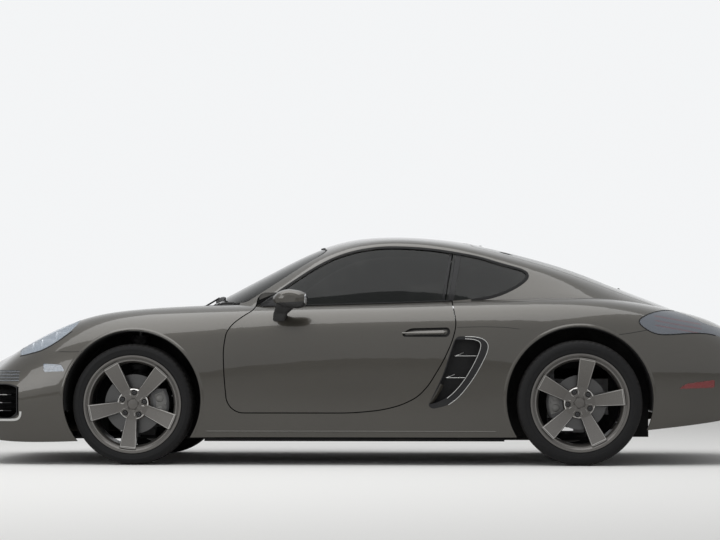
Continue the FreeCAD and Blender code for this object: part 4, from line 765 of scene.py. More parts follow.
class Dresser:
    """Finishes of the CAD nodes that stay as they are."""

    table: tuple[tuple[Finish, tuple[str, ...]], ...] = (
        (PAINT, ("bonnet", "body_sides", "bumper_front", "bumper_rear", "front_wings", "hatch", "roof_panel",
                 "spoiler")),
        (DOOR_PAINT, ("door_left", "door_right")),
        (MIRROR_PAINT, ("mirror_left", "mirror_right")),
        (CABIN_GLASS, ("windscreen", "hatch_glass", "quarter_glasses", "door_glass_left",
                       "door_glass_right")),
        (LENS_GLASS, ("front_lamp_lenses",)),
        (REAR_LENS, ("rear_lamp_lenses",)),
        (BOWL, ("headlamps", "tail_lamps")),
        (BLACK_TRIM, ("cowl_panel", "grille_front", "side_intakes", "diffuser", "wipers")),
        (LINER, ("wheel_arch_liners",)),
        (UNDERBODY, ("floor_pan", "front_luggage_tub", "rear_luggage_tub", "firewall", "rear_bulkhead")),
        (DASH, ("dashboard", "centre_console")),
        (HIDE, ("seat_left", "seat_right", "steering_wheel")),
        (STEEL, ("seat_bases",)),
        (CAST, ("knuckle_left", "knuckle_right", "rear_carriers", "front_suspension", "rear_suspension")),
        (ENGINE_ALLOY, ("engine",)),
        (EXHAUST, ("exhaust",)),
    )

    def run(self) -> None:
        """Dresses every node in the table and the wheels."""
        for finish, nodes in self.table:
            for node in nodes:
                dress(node, finish)
        for axle in AXLES:
            for side in Side:
                tail = f"{axle.end}_{side.word}"
                dress(f"rim_{tail}", wheel_paint(axle))
                dress(f"tyre_{tail}", tyre_rubber(axle))
                dress(f"brake_disc_{tail}", disc_iron(axle))
        LOG.info("dressed %d finishes", len(self.table))


@dataclass
class Form:
    """Points and faces of one or more closed shells."""

    points: np.ndarray
    faces: list[list[int]]

    def mirrored(self) -> "Form":
        """The same form on the other side of the car."""
        return Form(self.points * np.array([1.0, -1.0, 1.0]), self.faces)

    def add(self, name: str, finish: Finish, body: str, slot: str, smooth: bool = True) -> bpy.types.Object:
        """Makes the form a piece that rides on a body.

        Args:
            name: the piece's name.
            finish: its finish.
            body: the CAD body that it moves with.
            slot: not used.
            smooth: whether its faces are shaded smooth.

        Returns:
            The new object, at the origin.
        """
        mesh = bpy.data.meshes.new(name)
        mesh.from_pydata(self.points.tolist(), [], self.faces)
        work = bmesh.new()
        work.from_mesh(mesh)
        bmesh.ops.remove_doubles(work, verts=work.verts, dist=1e-6)
        bmesh.ops.recalc_face_normals(work, faces=work.faces)
        work.to_mesh(mesh)
        work.free()
        mesh.polygons.foreach_set("use_smooth", np.full(len(mesh.polygons), smooth))
        if smooth:
            mesh.set_sharp_from_angle(angle=math.radians(38))
        mesh.materials.append(finish.material())
        made = bpy.data.objects.new(name, mesh)
        bpy.context.scene.collection.objects.link(made)
        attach(made, body)
        return made

    def add_to_doors(self, name: str, finish: Finish, slot: str) -> None:
        """Makes the form a piece of the left door, and its mirror image a piece of the right door.

        Args:
            name: the pieces' name, ahead of the word for the side.
            finish: their finish.
            slot: the record's slot that the finish stands for.
        """
        for side in Side:
            form = self if side is Side.LEFT else self.mirrored()
            form.add(f"{name}_{side.word}", finish, f"door_{side.word}", slot)


def joined(forms: Sequence[Form]) -> Form:
    """Several forms as one.

    Args:
        forms: the forms, in order.

    Returns:
        One form with all their points and faces.
    """
    points, faces, start = [], [], 0
    for form in forms:
        points.append(form.points)
        faces.extend([[i + start for i in face] for face in form.faces])
        start += len(form.points)
    return Form(np.concatenate(points), faces)


def both(form: Form) -> Form:
    """A form and its mirror image."""
    return joined([form, form.mirrored()])


def corners_of(mesh: bpy.types.Mesh) -> np.ndarray:
    """A mesh's points."""
    flat = np.empty(len(mesh.vertices) * 3)
    mesh.vertices.foreach_get("co", flat)
    return flat.reshape(-1, 3)


def unit(vectors: np.ndarray) -> np.ndarray:
    """Vectors of length one."""
    return vectors / np.maximum(np.linalg.norm(vectors, axis=-1, keepdims=True), 1e-12)


def grid_faces(rows: int, columns: int, wrap_rows: bool, wrap_columns: bool) -> list[list[int]]:
    """Quads of a grid of points, numbered row by row.

    Args:
        rows: number of rows.
        columns: number of points in a row.
        wrap_rows: whether the last row joins the first.
        wrap_columns: whether a row's last point joins its first.

    Returns:
        The quads' point numbers.
    """
    i = np.arange(rows if wrap_rows else rows - 1)[:, None]
    j = np.arange(columns if wrap_columns else columns - 1)[None]
    far_i, far_j = (i + 1) % rows, (j + 1) % columns
    corners = (i * columns + j, i * columns + far_j, far_i * columns + far_j, far_i * columns + j)
    return np.stack(np.broadcast_arrays(*corners), -1).reshape(-1, 4).tolist()


def sweep(path: np.ndarray, out: np.ndarray, section: Plan, closed: bool = False) -> Form:
    """Profile carried along a path: point = path + across x s + out x h.

    Args:
        path: points along it, in metres.
        out: direction away from the surface at each point.
        section: the profile's (s, h) points, in order round it.
        closed: whether the path ends where it starts.

    Returns:
        The swept form, capped where the path is open.
    """
    if closed:
        along = np.roll(path, -1, 0) - np.roll(path, 1, 0)
    else:
        along = np.gradient(path, axis=0)
    across = unit(np.cross(out, along))
    out = unit(np.cross(along, across))
    profile = np.asarray(section)
    grid = path[:, None] + across[:, None] * profile[None, :, :1] + out[:, None] * profile[None, :, 1:]
    rows, columns = grid.shape[:2]
    faces = grid_faces(rows, columns, closed, True)
    if not closed:
        faces += [list(range(columns)), list(range((rows - 1) * columns, rows * columns))]
    return Form(grid.reshape(-1, 3), faces)


def bead(width: float, height: float, sunk: float = 0.002) -> Plan:
    """Profile of a flat strip with rounded upper corners, sunk a little into its surface.

    Args:
        width: its width.
        height: how far it stands off the surface.
        sunk: how far it reaches into it.

    Returns:
        The profile's (s, h) points.
    """
    half, soft = width / 2, min(height, width / 2) * 0.45
    return [(-half, -sunk), (half, -sunk), (half, height - soft), (half - soft, height),
            (-half + soft, height), (-half, height - soft)]


def lathe(centre: Sequence[float], profile: Plan, turns: int = 48, axis: int = 1) -> Form:
    """Closed profile turned about an axis: each (h, r) lies h along the axis and r from it.

    Args:
        centre: point on the axis where h is 0.
        profile: the closed outline, off the axis or touching it.
        turns: number of steps round.
        axis: 0 for X, 1 for Y, 2 for Z.

    Returns:
        The turned form.
    """
    angle = np.linspace(0, 2 * math.pi, turns, endpoint=False)[:, None]
    h, r = np.asarray(profile, float).T
    grid = np.zeros((turns, len(h), 3))
    first, second = [i for i in range(3) if i != axis]
    grid[..., axis] = h
    grid[..., first] = r * np.cos(angle)
    grid[..., second] = r * np.sin(angle)
    return Form((grid + np.asarray(centre)).reshape(-1, 3), grid_faces(turns, len(h), True, True))


def softened(points: np.ndarray, rounds: int = 3, closed: bool = True) -> np.ndarray:
    """Corners cut again and again: each edge keeps the points at 1/4 and 3/4 of its length.

    Args:
        points: the line's corners.
        rounds: how often they are cut.
        closed: whether the line ends where it starts.

    Returns:
        The softened line; an open one keeps both ends.
    """
    for _ in range(rounds):
        following = np.roll(points, -1, 0) if closed else points[1:]
        here = points if closed else points[:-1]
        cut = np.stack([0.75 * here + 0.25 * following, 0.25 * here + 0.75 * following], 1)
        cut = cut.reshape(-1, points.shape[1])
        points = cut if closed else np.concatenate([points[:1], cut, points[-1:]])
    return points


def even(points: np.ndarray, step: float, closed: bool = False) -> np.ndarray:
    """Points at an even spacing along a line.

    Args:
        points: the line's corners.
        step: the spacing, in metres.
        closed: whether the line ends where it starts.

    Returns:
        The new points; a closed line's last one lies a step short of the first.
    """
    if closed:
        points = np.concatenate([points, points[:1]])
    length = np.concatenate([[0], np.cumsum(np.linalg.norm(np.diff(points, axis=0), axis=1))])
    count = max(int(length[-1] / step), 2)
    marks = np.linspace(0, length[-1], count, endpoint=not closed)
    return np.stack([np.interp(marks, length, column) for column in points.T], 1)


def grown(loop: np.ndarray, distance: float) -> np.ndarray:
    """Closed plane outline moved outwards by a distance.

    Args:
        loop: its points, either way round.
        distance: how far, in metres.

    Returns:
        The larger outline.
    """
    along = unit(np.roll(loop, -1, 0) - np.roll(loop, 1, 0))
    aside = np.stack([along[:, 1], -along[:, 0]], 1)
    following = np.roll(loop, -1, 0)
    turning = np.sign(np.sum(loop[:, 0] * following[:, 1] - loop[:, 1] * following[:, 0]))
    return loop + aside * (distance * turning)


class Skin:
    """Surface of some CAD nodes, found with rays from outside the car."""

    side_start = 1.3
    top_start = 1.8
    neighbours = 4

    def __init__(self, *nodes: str) -> None:
        """Gathers the nodes' triangles.

        Args:
            *nodes: names of CAD nodes.
        """
        points, faces, start = [], [], 0
        for node in nodes:
            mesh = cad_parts[node].data
            points.append(corners_of(mesh))
            mesh.calc_loop_triangles()
            corners = np.empty(len(mesh.loop_triangles) * 3, dtype=np.int64)
            mesh.loop_triangles.foreach_get("vertices", corners)
            faces.append(corners.reshape(-1, 3) + start)
            start += len(mesh.vertices)
        self.tree = BVHTree.FromPolygons(np.concatenate(points).tolist(), np.concatenate(faces).tolist())

    def cast(self, starts: np.ndarray, towards: Sequence[float],
             slack: float = 0.006) -> tuple[np.ndarray, np.ndarray]:
        """First hits of rays along one direction; a ray that falls into a gap takes its neighbours' depth.

        Args:
            starts: points outside the surface.
            towards: the rays' direction.
            slack: depth behind the neighbours from which a hit counts as in a gap.

        Returns:
            The points on the surface, and the surface's normals there.
        """
        ray = Vector(towards)
        hits = [self.tree.ray_cast(Vector(start), ray) for start in starts.tolist()]
        depth = np.array([hit[3] if hit[0] is not None else np.inf for hit in hits])
        normals = np.array([hit[1] if hit[0] is not None else (0, 0, 0) for hit in hits], float)
        normals *= -np.sign(normals @ np.array(ray))[:, None]
        near = self.neighbours
        padded = np.pad(depth, near, mode="edge")
        windows = np.lib.stride_tricks.sliding_window_view(padded, near + 1).min(axis=1)
        good = depth < np.maximum(windows[:-near], windows[near:]) + slack
        if not good.any():
            raise ValueError("no ray met the surface")
        at = np.arange(len(depth))
        depth = np.interp(at, at[good], depth[good])
        normals = np.stack([np.interp(at, at[good], column[good]) for column in normals.T], 1)
        return starts + depth[:, None] * np.array(ray), unit(normals)

    def side(self, plan: np.ndarray) -> tuple[np.ndarray, np.ndarray]:
        """Points on the left side, for (x, z) seen from there."""
        starts = np.stack([plan[:, 0], np.full(len(plan), self.side_start), plan[:, 1]], 1)
        return self.cast(starts, (0, -1, 0))

    def above(self, plan: np.ndarray) -> tuple[np.ndarray, np.ndarray]:
        """Points on the top, for (x, y) seen from above."""
        starts = np.stack([plan[:, 0], plan[:, 1], np.full(len(plan), self.top_start)], 1)
        return self.cast(starts, (0, 0, -1), slack=0.012)


def patch(skin: Skin, outline: Plan, height: float, rings: int, rounds: int, step: float = 0.006) -> Form:
    """Thin plate that follows the left side of the skin inside an outline.

    Each ring lies at middle + (outline - middle) x share, with shares that fall evenly from 1 to 0.04.

    Args:
        skin: what it lies on.
        outline: (x, z) corners, softened before use.
        height: how far it stands off the surface.
        rings: number of rings.
        rounds: how often the corners are cut.
        step: spacing of the points round it.

    Returns:
        The closed plate.
    """
    loop = even(softened(np.array(outline), rounds), step, True)
    middle = loop.mean(0)
    shares = np.linspace(1, 0.04, rings)[:, None, None]
    flat = (middle + (loop - middle) * shares).reshape(-1, 2)
    points, normals = skin.side(flat)
    count = len(loop)
    top = points + normals * height
    foot = points[:count] - normals[:count] * 0.002
    grid = np.concatenate([foot, top])
    faces = grid_faces(rings + 1, count, False, True)
    faces += [list(range(rings * count, (rings + 1) * count)), list(range(count))]
    return Form(grid, faces)


@dataclass
class GlassTrim:
    """Black surrounds and seals of the windows, the windscreen and the rear glass, and pillar strips."""

    band: float = 0.017
    height: float = 0.0022
    seal: float = 0.013
    overlap: float = 0.001
    band_end: tuple[float, float] = (-0.62, 0.917)
    waist_x: tuple[float, float] = (-0.515, 0.53)
    waist_line: Plan = ((-0.5, 0.922), (0.0, 0.907), (0.3, 0.898), (0.55, 0.886))
    waist_lift: float = 0.012
    waist_out: float = 0.007
    strip: float = 0.03
    strip_back: float = 0.024
    edge: float = 0.014
    edge_ahead: float = 0.02
    pillar_top: tuple[float, float] = (-0.541, 1.178)
    pillar_foot: tuple[float, float] = (-0.497, 0.912)
    window: Plan = (
        (0.552, 0.872), (0.395, 0.991), (0.237, 1.097), (0.119, 1.157), (0, 1.192), (-0.119, 1.208),
        (-0.237, 1.209), (-0.395, 1.199), (-0.552, 1.175), (-0.684, 1.15), (-0.8, 1.112), (-0.961, 1.07),
        (-0.916, 1.013), (-0.788, 0.948), (-0.659, 0.923), (-0.505, 0.908), (-0.273, 0.9), (0, 0.891),
        (0.271, 0.879))
    screen: Plan = (
        (0.93, 0), (0.88, 0.3), (0.74, 0.56), (0.64, 0.668), (0.4, 0.585), (0.17, 0.5), (0.225, 0.26),
        (0.24, 0))
    rear_glass: Plan = (
        (-0.69, 0), (-0.69, 0.28), (-0.72, 0.43), (-0.95, 0.44), (-1.35, 0.43), (-1.48, 0.38), (-1.5, 0))
    corner: Plan = ((0.575, 0.872), (0.47, 0.948), (0.43, 0.94), (0.425, 0.884))

    def run(self) -> None:
        """Lays every strip."""
        self.surround()
        self.waist()
        self.pillars()
        self.corners()
        self.sealed_glass()
        LOG.info("glass trim laid")

    def surround(self) -> None:
        """Band over each side window, round its tip, and forwards under the fixed pane."""
        skin = Skin("body_sides", "front_wings", "roof_panel")
        loop = grown(even(softened(np.array(self.window)), 0.012, True), self.band / 2 - self.overlap)
        loop = np.roll(loop, -int(np.argmin(np.linalg.norm(loop - self.window[0], axis=1))) - 2, 0)
        stop = int(np.argmin(np.linalg.norm(loop - self.band_end, axis=1)))
        points, normals = skin.side(loop[:stop])
        both(sweep(points, normals, bead(self.band, self.height))).add(
            "window_surrounds", SEAL, "root", "black_trim")

    def waist(self) -> None:
        """Waist seal along the foot of each door's pane, laid on the door from above."""
        along = np.arange(*self.waist_x, 0.012)
        crest = np.interp(along, *np.array(self.waist_line).T)
        pane, _ = Skin("door_glass_left").side(np.stack([along, crest + self.waist_lift], 1))
        points, normals = Skin("door_left").above(np.stack([along, pane[:, 1] + self.waist_out], 1))
        sweep(points, normals, bead(self.seal, 0.006, 0.004)).add_to_doors("waist_seal", SEAL, "black_trim")

    def pillars(self) -> None:
        """Black strips on both sides of the line where the door's pane meets the fixed pane."""
        share = np.linspace(0, 1, 24)[:, None]
        line = np.array(self.pillar_top) * (1 - share) + np.array(self.pillar_foot) * share
        fixed, moving = Skin("quarter_glasses"), Skin("door_glass_left")
        points, normals = fixed.side(line - (self.strip_back, 0))
        both(sweep(points, normals, bead(self.strip, self.height))).add(
            "pillar_strips", GLOSS_BLACK, "root", "black_trim")
        points, normals = moving.side(line + (self.edge_ahead, 0))
        form = sweep(points, normals, bead(self.edge, self.height))
        form.add_to_doors("pane_edge", GLOSS_BLACK, "black_trim")

    def corners(self) -> None:
        """Black triangles at the front corners of the door panes, ahead of the mirrors."""
        form = patch(Skin("door_glass_left"), self.corner, height=0.003, rings=6, rounds=2)
        form.add_to_doors("pane_corner", BLACK_TRIM, "black_trim")

    def sealed_glass(self) -> None:
        """Seals round the windscreen and the rear glass, laid from above."""
        for name, half, nodes, body in (
                ("windscreen_seal", self.screen, ("windscreen", "body_sides", "front_wings", "roof_panel",
                                                  "cowl_panel"), "root"),
                ("rear_glass_seal", self.rear_glass, ("hatch_glass", "hatch"), "hatch")):
            left = np.array(half)
            right = left[left[:, 1] > 0][::-1] * (1, -1)
            loop = even(softened(np.concatenate([left, right]), 2), 0.015, True)
            points, normals = Skin(*nodes).above(loop)
            sweep(points, normals, bead(self.seal, self.height), True).add(name, SEAL, body, "black_trim")


@dataclass
class BodyTrim:
    """Thin parts on the body: arch lips, sill lines, painted highlight strips on the intakes and the slats,
    seams with a painted shade line behind each door, dark sheets of painted shade, seals, door grips, nose
    trim.

    Each plan is a line of (x, z) points seen from the left side.
    """

    lip: float = 0.016
    lip_gap: float = 0.001
    seam_gap: float = 0.35
    arch_z: float = 0.362
    arches: tuple[tuple[str, float, float, float, float, float], ...] = (
        # end, axle x, opening's radius, first angle, last angle, angle of the bumper's seam
        ("front", 1.2445, 0.383, -34.0, 210.0, 44.0),
        ("rear", -1.2305, 0.4035, -28.0, 200.0, 118.0),
    )
    blade_edge: Plan = (
        (-0.6, 0.7105), (-0.655, 0.7095), (-0.7, 0.699), (-0.7275, 0.672), (-0.7265, 0.64), (-0.714, 0.604),
        (-0.671, 0.52), (-0.621, 0.444), (-0.562, 0.373), (-0.508, 0.335))
    mouth_edge: Plan = (
        (-0.6, 0.6985), (-0.645, 0.6965), (-0.683, 0.684), (-0.6885, 0.655), (-0.667, 0.596), (-0.629, 0.524),
        (-0.591, 0.464), (-0.545, 0.409), (-0.5, 0.37))
    vane_y: float = 0.872
    vanes: tuple[Triple, ...] = (
        # rear end's x, length, z
        (-0.668, 0.122, 0.603), (-0.61, 0.113, 0.483))
    scoop_edge: tuple[Triple, ...] = (
        (-0.412, 0.8815, 0.34), (-0.432, 0.88, 0.372), (-0.458, 0.878, 0.415), (-0.474, 0.876, 0.447))
    scoop_section: Plan = ((-0.013, -0.012), (0.012, -0.0005), (0.012, 0.0015), (-0.013, -0.01))
    sill_x: tuple[float, float] = (-0.77, 0.85)
    sill_z: float = 0.187
    bumper_seams: tuple[Plan, ...] = (
        ((1.523, 0.6282), (1.6, 0.6262), (1.66, 0.6285)),
        ((-1.425, 0.7195), (-1.49, 0.7265), (-1.56, 0.7385), (-1.6, 0.7462)))
    fold_shade_line: Plan = ((-0.556, 0.762), (-0.7, 0.765), (-0.82, 0.762), (-0.9, 0.752))
    liner_walls: tuple[tuple[float, float, float, float], ...] = (
        # axle x, wall's y, distances of its far and near end from the axle
        (1.2445, 0.436, 0.375, 0.192), (-1.2305, 0.594, 0.395, 0.172))
    liner_z: tuple[float, float] = (0.15, 0.304)
    plate: tuple[Triple, Triple] = ((-1.45, 0.0, 0.44), (-1.02, 0.003, 0.62))
    shut_line: Plan = (
        (-0.53, 0.898), (-0.537, 0.862), (-0.5455, 0.82), (-0.5485, 0.78), (-0.5435, 0.74), (-0.528, 0.69),
        (-0.493, 0.6), (-0.4785, 0.572), (-0.4185, 0.475), (-0.3965, 0.4405), (-0.338, 0.379),
        (-0.249, 0.3345), (-0.14, 0.307), (0.02, 0.291), (0.2, 0.29))
    shut_section: Plan = ((-0.0103, -0.038), (0.006, -0.038), (0.006, -0.033), (-0.0103, -0.033))
    shut_aside: float = 0.008
    grip_x: tuple[float, float] = (-0.252, -0.498)
    grip_line: Plan = ((-0.5, 0.7365), (-0.252, 0.731))
    grip_section: Plan = (
        (-0.011, -0.006), (0.011, -0.006), (0.0125, -0.001), (0.009, 0.0045), (0.0, 0.0095),
        (-0.007, 0.012), (-0.0115, 0.009), (-0.0125, 0.0))
    grip_steps: int = 30
    nose_trim: Plan = (
        (2.06, 0.2475), (1.99, 0.2475), (1.925, 0.2475), (1.889, 0.2505), (1.872, 0.268), (1.87, 0.296))
    slats_z: tuple[float, ...] = (0.299, 0.343, 0.388)
    slat_half: float = 0.0026
    slat_step: float = 0.008
    head_gasket: Plan = ((1.596, 0.742), (1.665, 0.688), (1.752, 0.6355), (1.838, 0.6135), (1.892, 0.6025))
    tail_gasket: Plan = (
        (-1.77, 0.8555), (-1.704, 0.8605), (-1.609, 0.8365), (-1.5495, 0.799), (-1.578, 0.763),
        (-1.634, 0.729), (-1.697, 0.718), (-1.861, 0.731), (-1.956, 0.726), (-1.99, 0.716))

    def run(self) -> None:
        """Lays every strip."""
        self.arch_lips()
        self.sill_lines()
        self.intake_highlights()
        self.seams()
        self.shade_sheets()
        self.shut_seals()
        self.grips()
        self.nose()
        self.lamp_gaskets()
        LOG.info("body trim laid")

    def arch_lips(self) -> None:
        """Folded lip round each wheel opening, cut at the bumper's seam."""
        skin = Skin("front_wings", "body_sides", "bumper_front", "bumper_rear")
        profile = [(-self.lip / 2, -0.002), (self.lip / 2, -0.002), (self.lip / 2, 0.0002),
                   (0.0, 0.0026), (-self.lip / 2 + 0.003, 0.0034), (-self.lip / 2, 0.0022)]
        for end, axle_x, radius, first, last, seam in self.arches:
            forms = []
            reach = radius + self.lip / 2 + self.lip_gap
            for low, high in ((first, seam - self.seam_gap), (seam + self.seam_gap, last)):
                angle = np.radians(np.arange(low, high, 1.6))
                plan = [axle_x + reach * np.cos(angle), self.arch_z + reach * np.sin(angle)]
                points, normals = skin.side(np.stack(plan, 1))
                forms.append(sweep(points, normals, profile))
            both(joined(forms)).add(f"arch_lips_{end}", PAINT, "root", "paint")

    def sill_lines(self) -> None:
        """Raised edge along the foot of each sill."""
        along = np.arange(*self.sill_x, 0.02)
        points, normals = Skin("body_sides").side(np.stack([along, np.full(len(along), self.sill_z)], 1))
        both(sweep(points, normals, bead(0.007, 0.0035))).add("sill_lines", PAINT, "root", "paint")

    def intake_highlights(self) -> None:
        """Painted highlights as light strips along the intake's blade and vanes, and a painted lip on its
        front edge.
        """
        skin = Skin("side_intakes", "body_sides")
        forms = []
        for plan in (self.blade_edge, self.mouth_edge):
            points, normals = skin.side(even(softened(np.array(plan), 3, False), 0.008))
            forms.append(sweep(points, normals, bead(0.0035, 0.0014)))
        for rear_x, reach, z in self.vanes:
            tip = np.array([rear_x + reach, self.vane_y, z])
            line = np.array([(rear_x, self.vane_y, z), tip - (0.004, 0, 0), tip, tip - (0.045, 0.03, -0.018)])
            line = even(line, 0.006)
            forms.append(sweep(line, np.tile((0.0, 0.0, 1.0), (len(line), 1)), bead(0.007, 0.003, 0.0)))
        # painted highlights: satin strips on the edges of the black blade and vanes
        both(joined(forms)).add("intake_highlights", SATIN, "root", "black_trim")
        line = even(np.array(self.scoop_edge), 0.01)
        scoop = sweep(line, np.tile((-0.3, 0.9, 0.0), (len(line), 1)), self.scoop_section)
        both(scoop).add("intake_scoops", PAINT, "root", "paint")

    def seams(self) -> None:
        """Dark joints between the bumpers and the panels above them, and a black line of painted shade along
        the fold behind each door.
        """
        skin = Skin("front_wings", "body_sides", "bumper_front", "bumper_rear")
        forms = []
        for plan in self.bumper_seams:
            points, normals = skin.side(even(np.array(plan), 0.01))
            forms.append(sweep(points, normals, bead(0.0028, 0.0006)))
        both(joined(forms)).add("bumper_seams", SEAL, "root", "black_trim")
        # painted shade: a black line in the crease of the fold behind the door
        points, normals = skin.side(even(np.array(self.fold_shade_line), 0.012))
        both(sweep(points, normals, bead(0.0022, 0.0004))).add("fold_shade_lines", SEAL, "root", "black_trim")

    def shade_sheets(self) -> None:
        """Lower edges of the liners' inner walls, and a plate along the middle over the engine's rear end, as
        dark sheets of painted shade that close the view through the car.
        """
        forms = []
        low, high = self.liner_z
        # painted shade: dark sheets where the view through the car would show the bright floor
        for axle_x, y, far, near in self.liner_walls:
            for sign in (-1, 1):
                x0, x1 = sorted((axle_x + sign * near, axle_x + sign * far))
                forms.append(slab((x0, y - 0.002, low), (x1, y + 0.0015, high), 0.001))
        forms.append(slab(*self.plate, 0.001))
        both(joined(forms)).add("liner_shade_sheets", LINER, "root", "black_trim")

    def shut_seals(self) -> None:
        """Rubber behind the rear edge of each door's gap, fixed to the body and clear of the door."""
        line = even(np.array(self.shut_line), 0.01)
        aside = unit(np.gradient(line, axis=0))[:, ::-1] * (self.shut_aside, -self.shut_aside)
        points, _ = Skin("body_sides").side(line + aside)
        outwards = np.tile((0.0, 1.0, 0.0), (len(points), 1))
        both(sweep(points, outwards, self.shut_section)).add("door_shut_seals", SEAL, "root", "black_trim")

    def grips(self) -> None:
        """Door handles: a rounded bar, thin at the front, that stands a little off the door.

        The bar's height and depth are scaled along it by 1 - (1 - t)^3, with t from its front tip,
        and over its last three steps by the share of steps that are left.
        """
        steps, around = self.grip_steps, len(self.grip_section)
        along = np.linspace(*self.grip_x, steps)
        height = np.interp(along, *np.array(self.grip_line).T)
        points, normals = Skin("door_left").side(np.column_stack([along, height]))
        form = sweep(points, normals, self.grip_section)
        share = np.repeat(1 - (1 - np.linspace(0.12, 1, steps)) ** 3, around)[:, None]
        share *= np.repeat(np.clip((steps - np.arange(steps)) / 3, 0.35, 1), around)[:, None]
        middle = np.repeat(points, around, 0)
        form.points = middle + (form.points - middle) * share
        form.add_to_doors("door_grip", PAINT, "paint")

    def nose(self) -> None:
        """Silver trim under each front intake, and painted highlights as satin strips on the slats' front
        edges.
        """
        skin = Skin("bumper_front")
        points, normals = skin.side(even(softened(np.array(self.nose_trim), 3, False), 0.008))
        both(sweep(points, normals, bead(0.013, 0.003))).add("nose_trim", SATIN, "root", "black_trim")
        grille = corners_of(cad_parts["grille_front"].data)
        outer = grille[(grille[:, 0] > 1.935) & (grille[:, 1] > 0.45)]
        strips, step = [], self.slat_step
        for z in self.slats_z:
            rim = outer[abs(outer[:, 2] - z) < self.slat_half]
            edges = np.arange(rim[:, 1].min(), rim[:, 1].max() + step, step)
            cells = np.digitize(rim[:, 1], edges)
            # foremost point of each cell across the car
            line = [[rim[cells == k, 0].max(), edges[k - 1] + step / 2, z] for k in np.unique(cells)]
            out = np.tile((0.8, 0.6, 0.0), (len(line), 1))
            strips.append(sweep(np.array(line), out, bead(0.0035, 0.0015)))
        # painted highlights along the slats' front edges
        both(joined(strips)).add("slat_highlights", SATIN, "root", "black_trim")

    def lamp_gaskets(self) -> None:
        """Dark gaskets under the headlamps and the tail lamps."""
        skin = Skin("bumper_front", "front_wings", "bumper_rear", "body_sides", "headlamps", "tail_lamps",
                    "front_lamp_lenses", "rear_lamp_lenses")
        forms = []
        for plan in (self.head_gasket, self.tail_gasket):
            points, normals = skin.side(even(softened(np.array(plan), 3, False), 0.01))
            forms.append(sweep(points, normals, bead(0.006, 0.0016)))
        both(joined(forms)).add("lamp_gaskets", SEAL, "root", "black_trim")


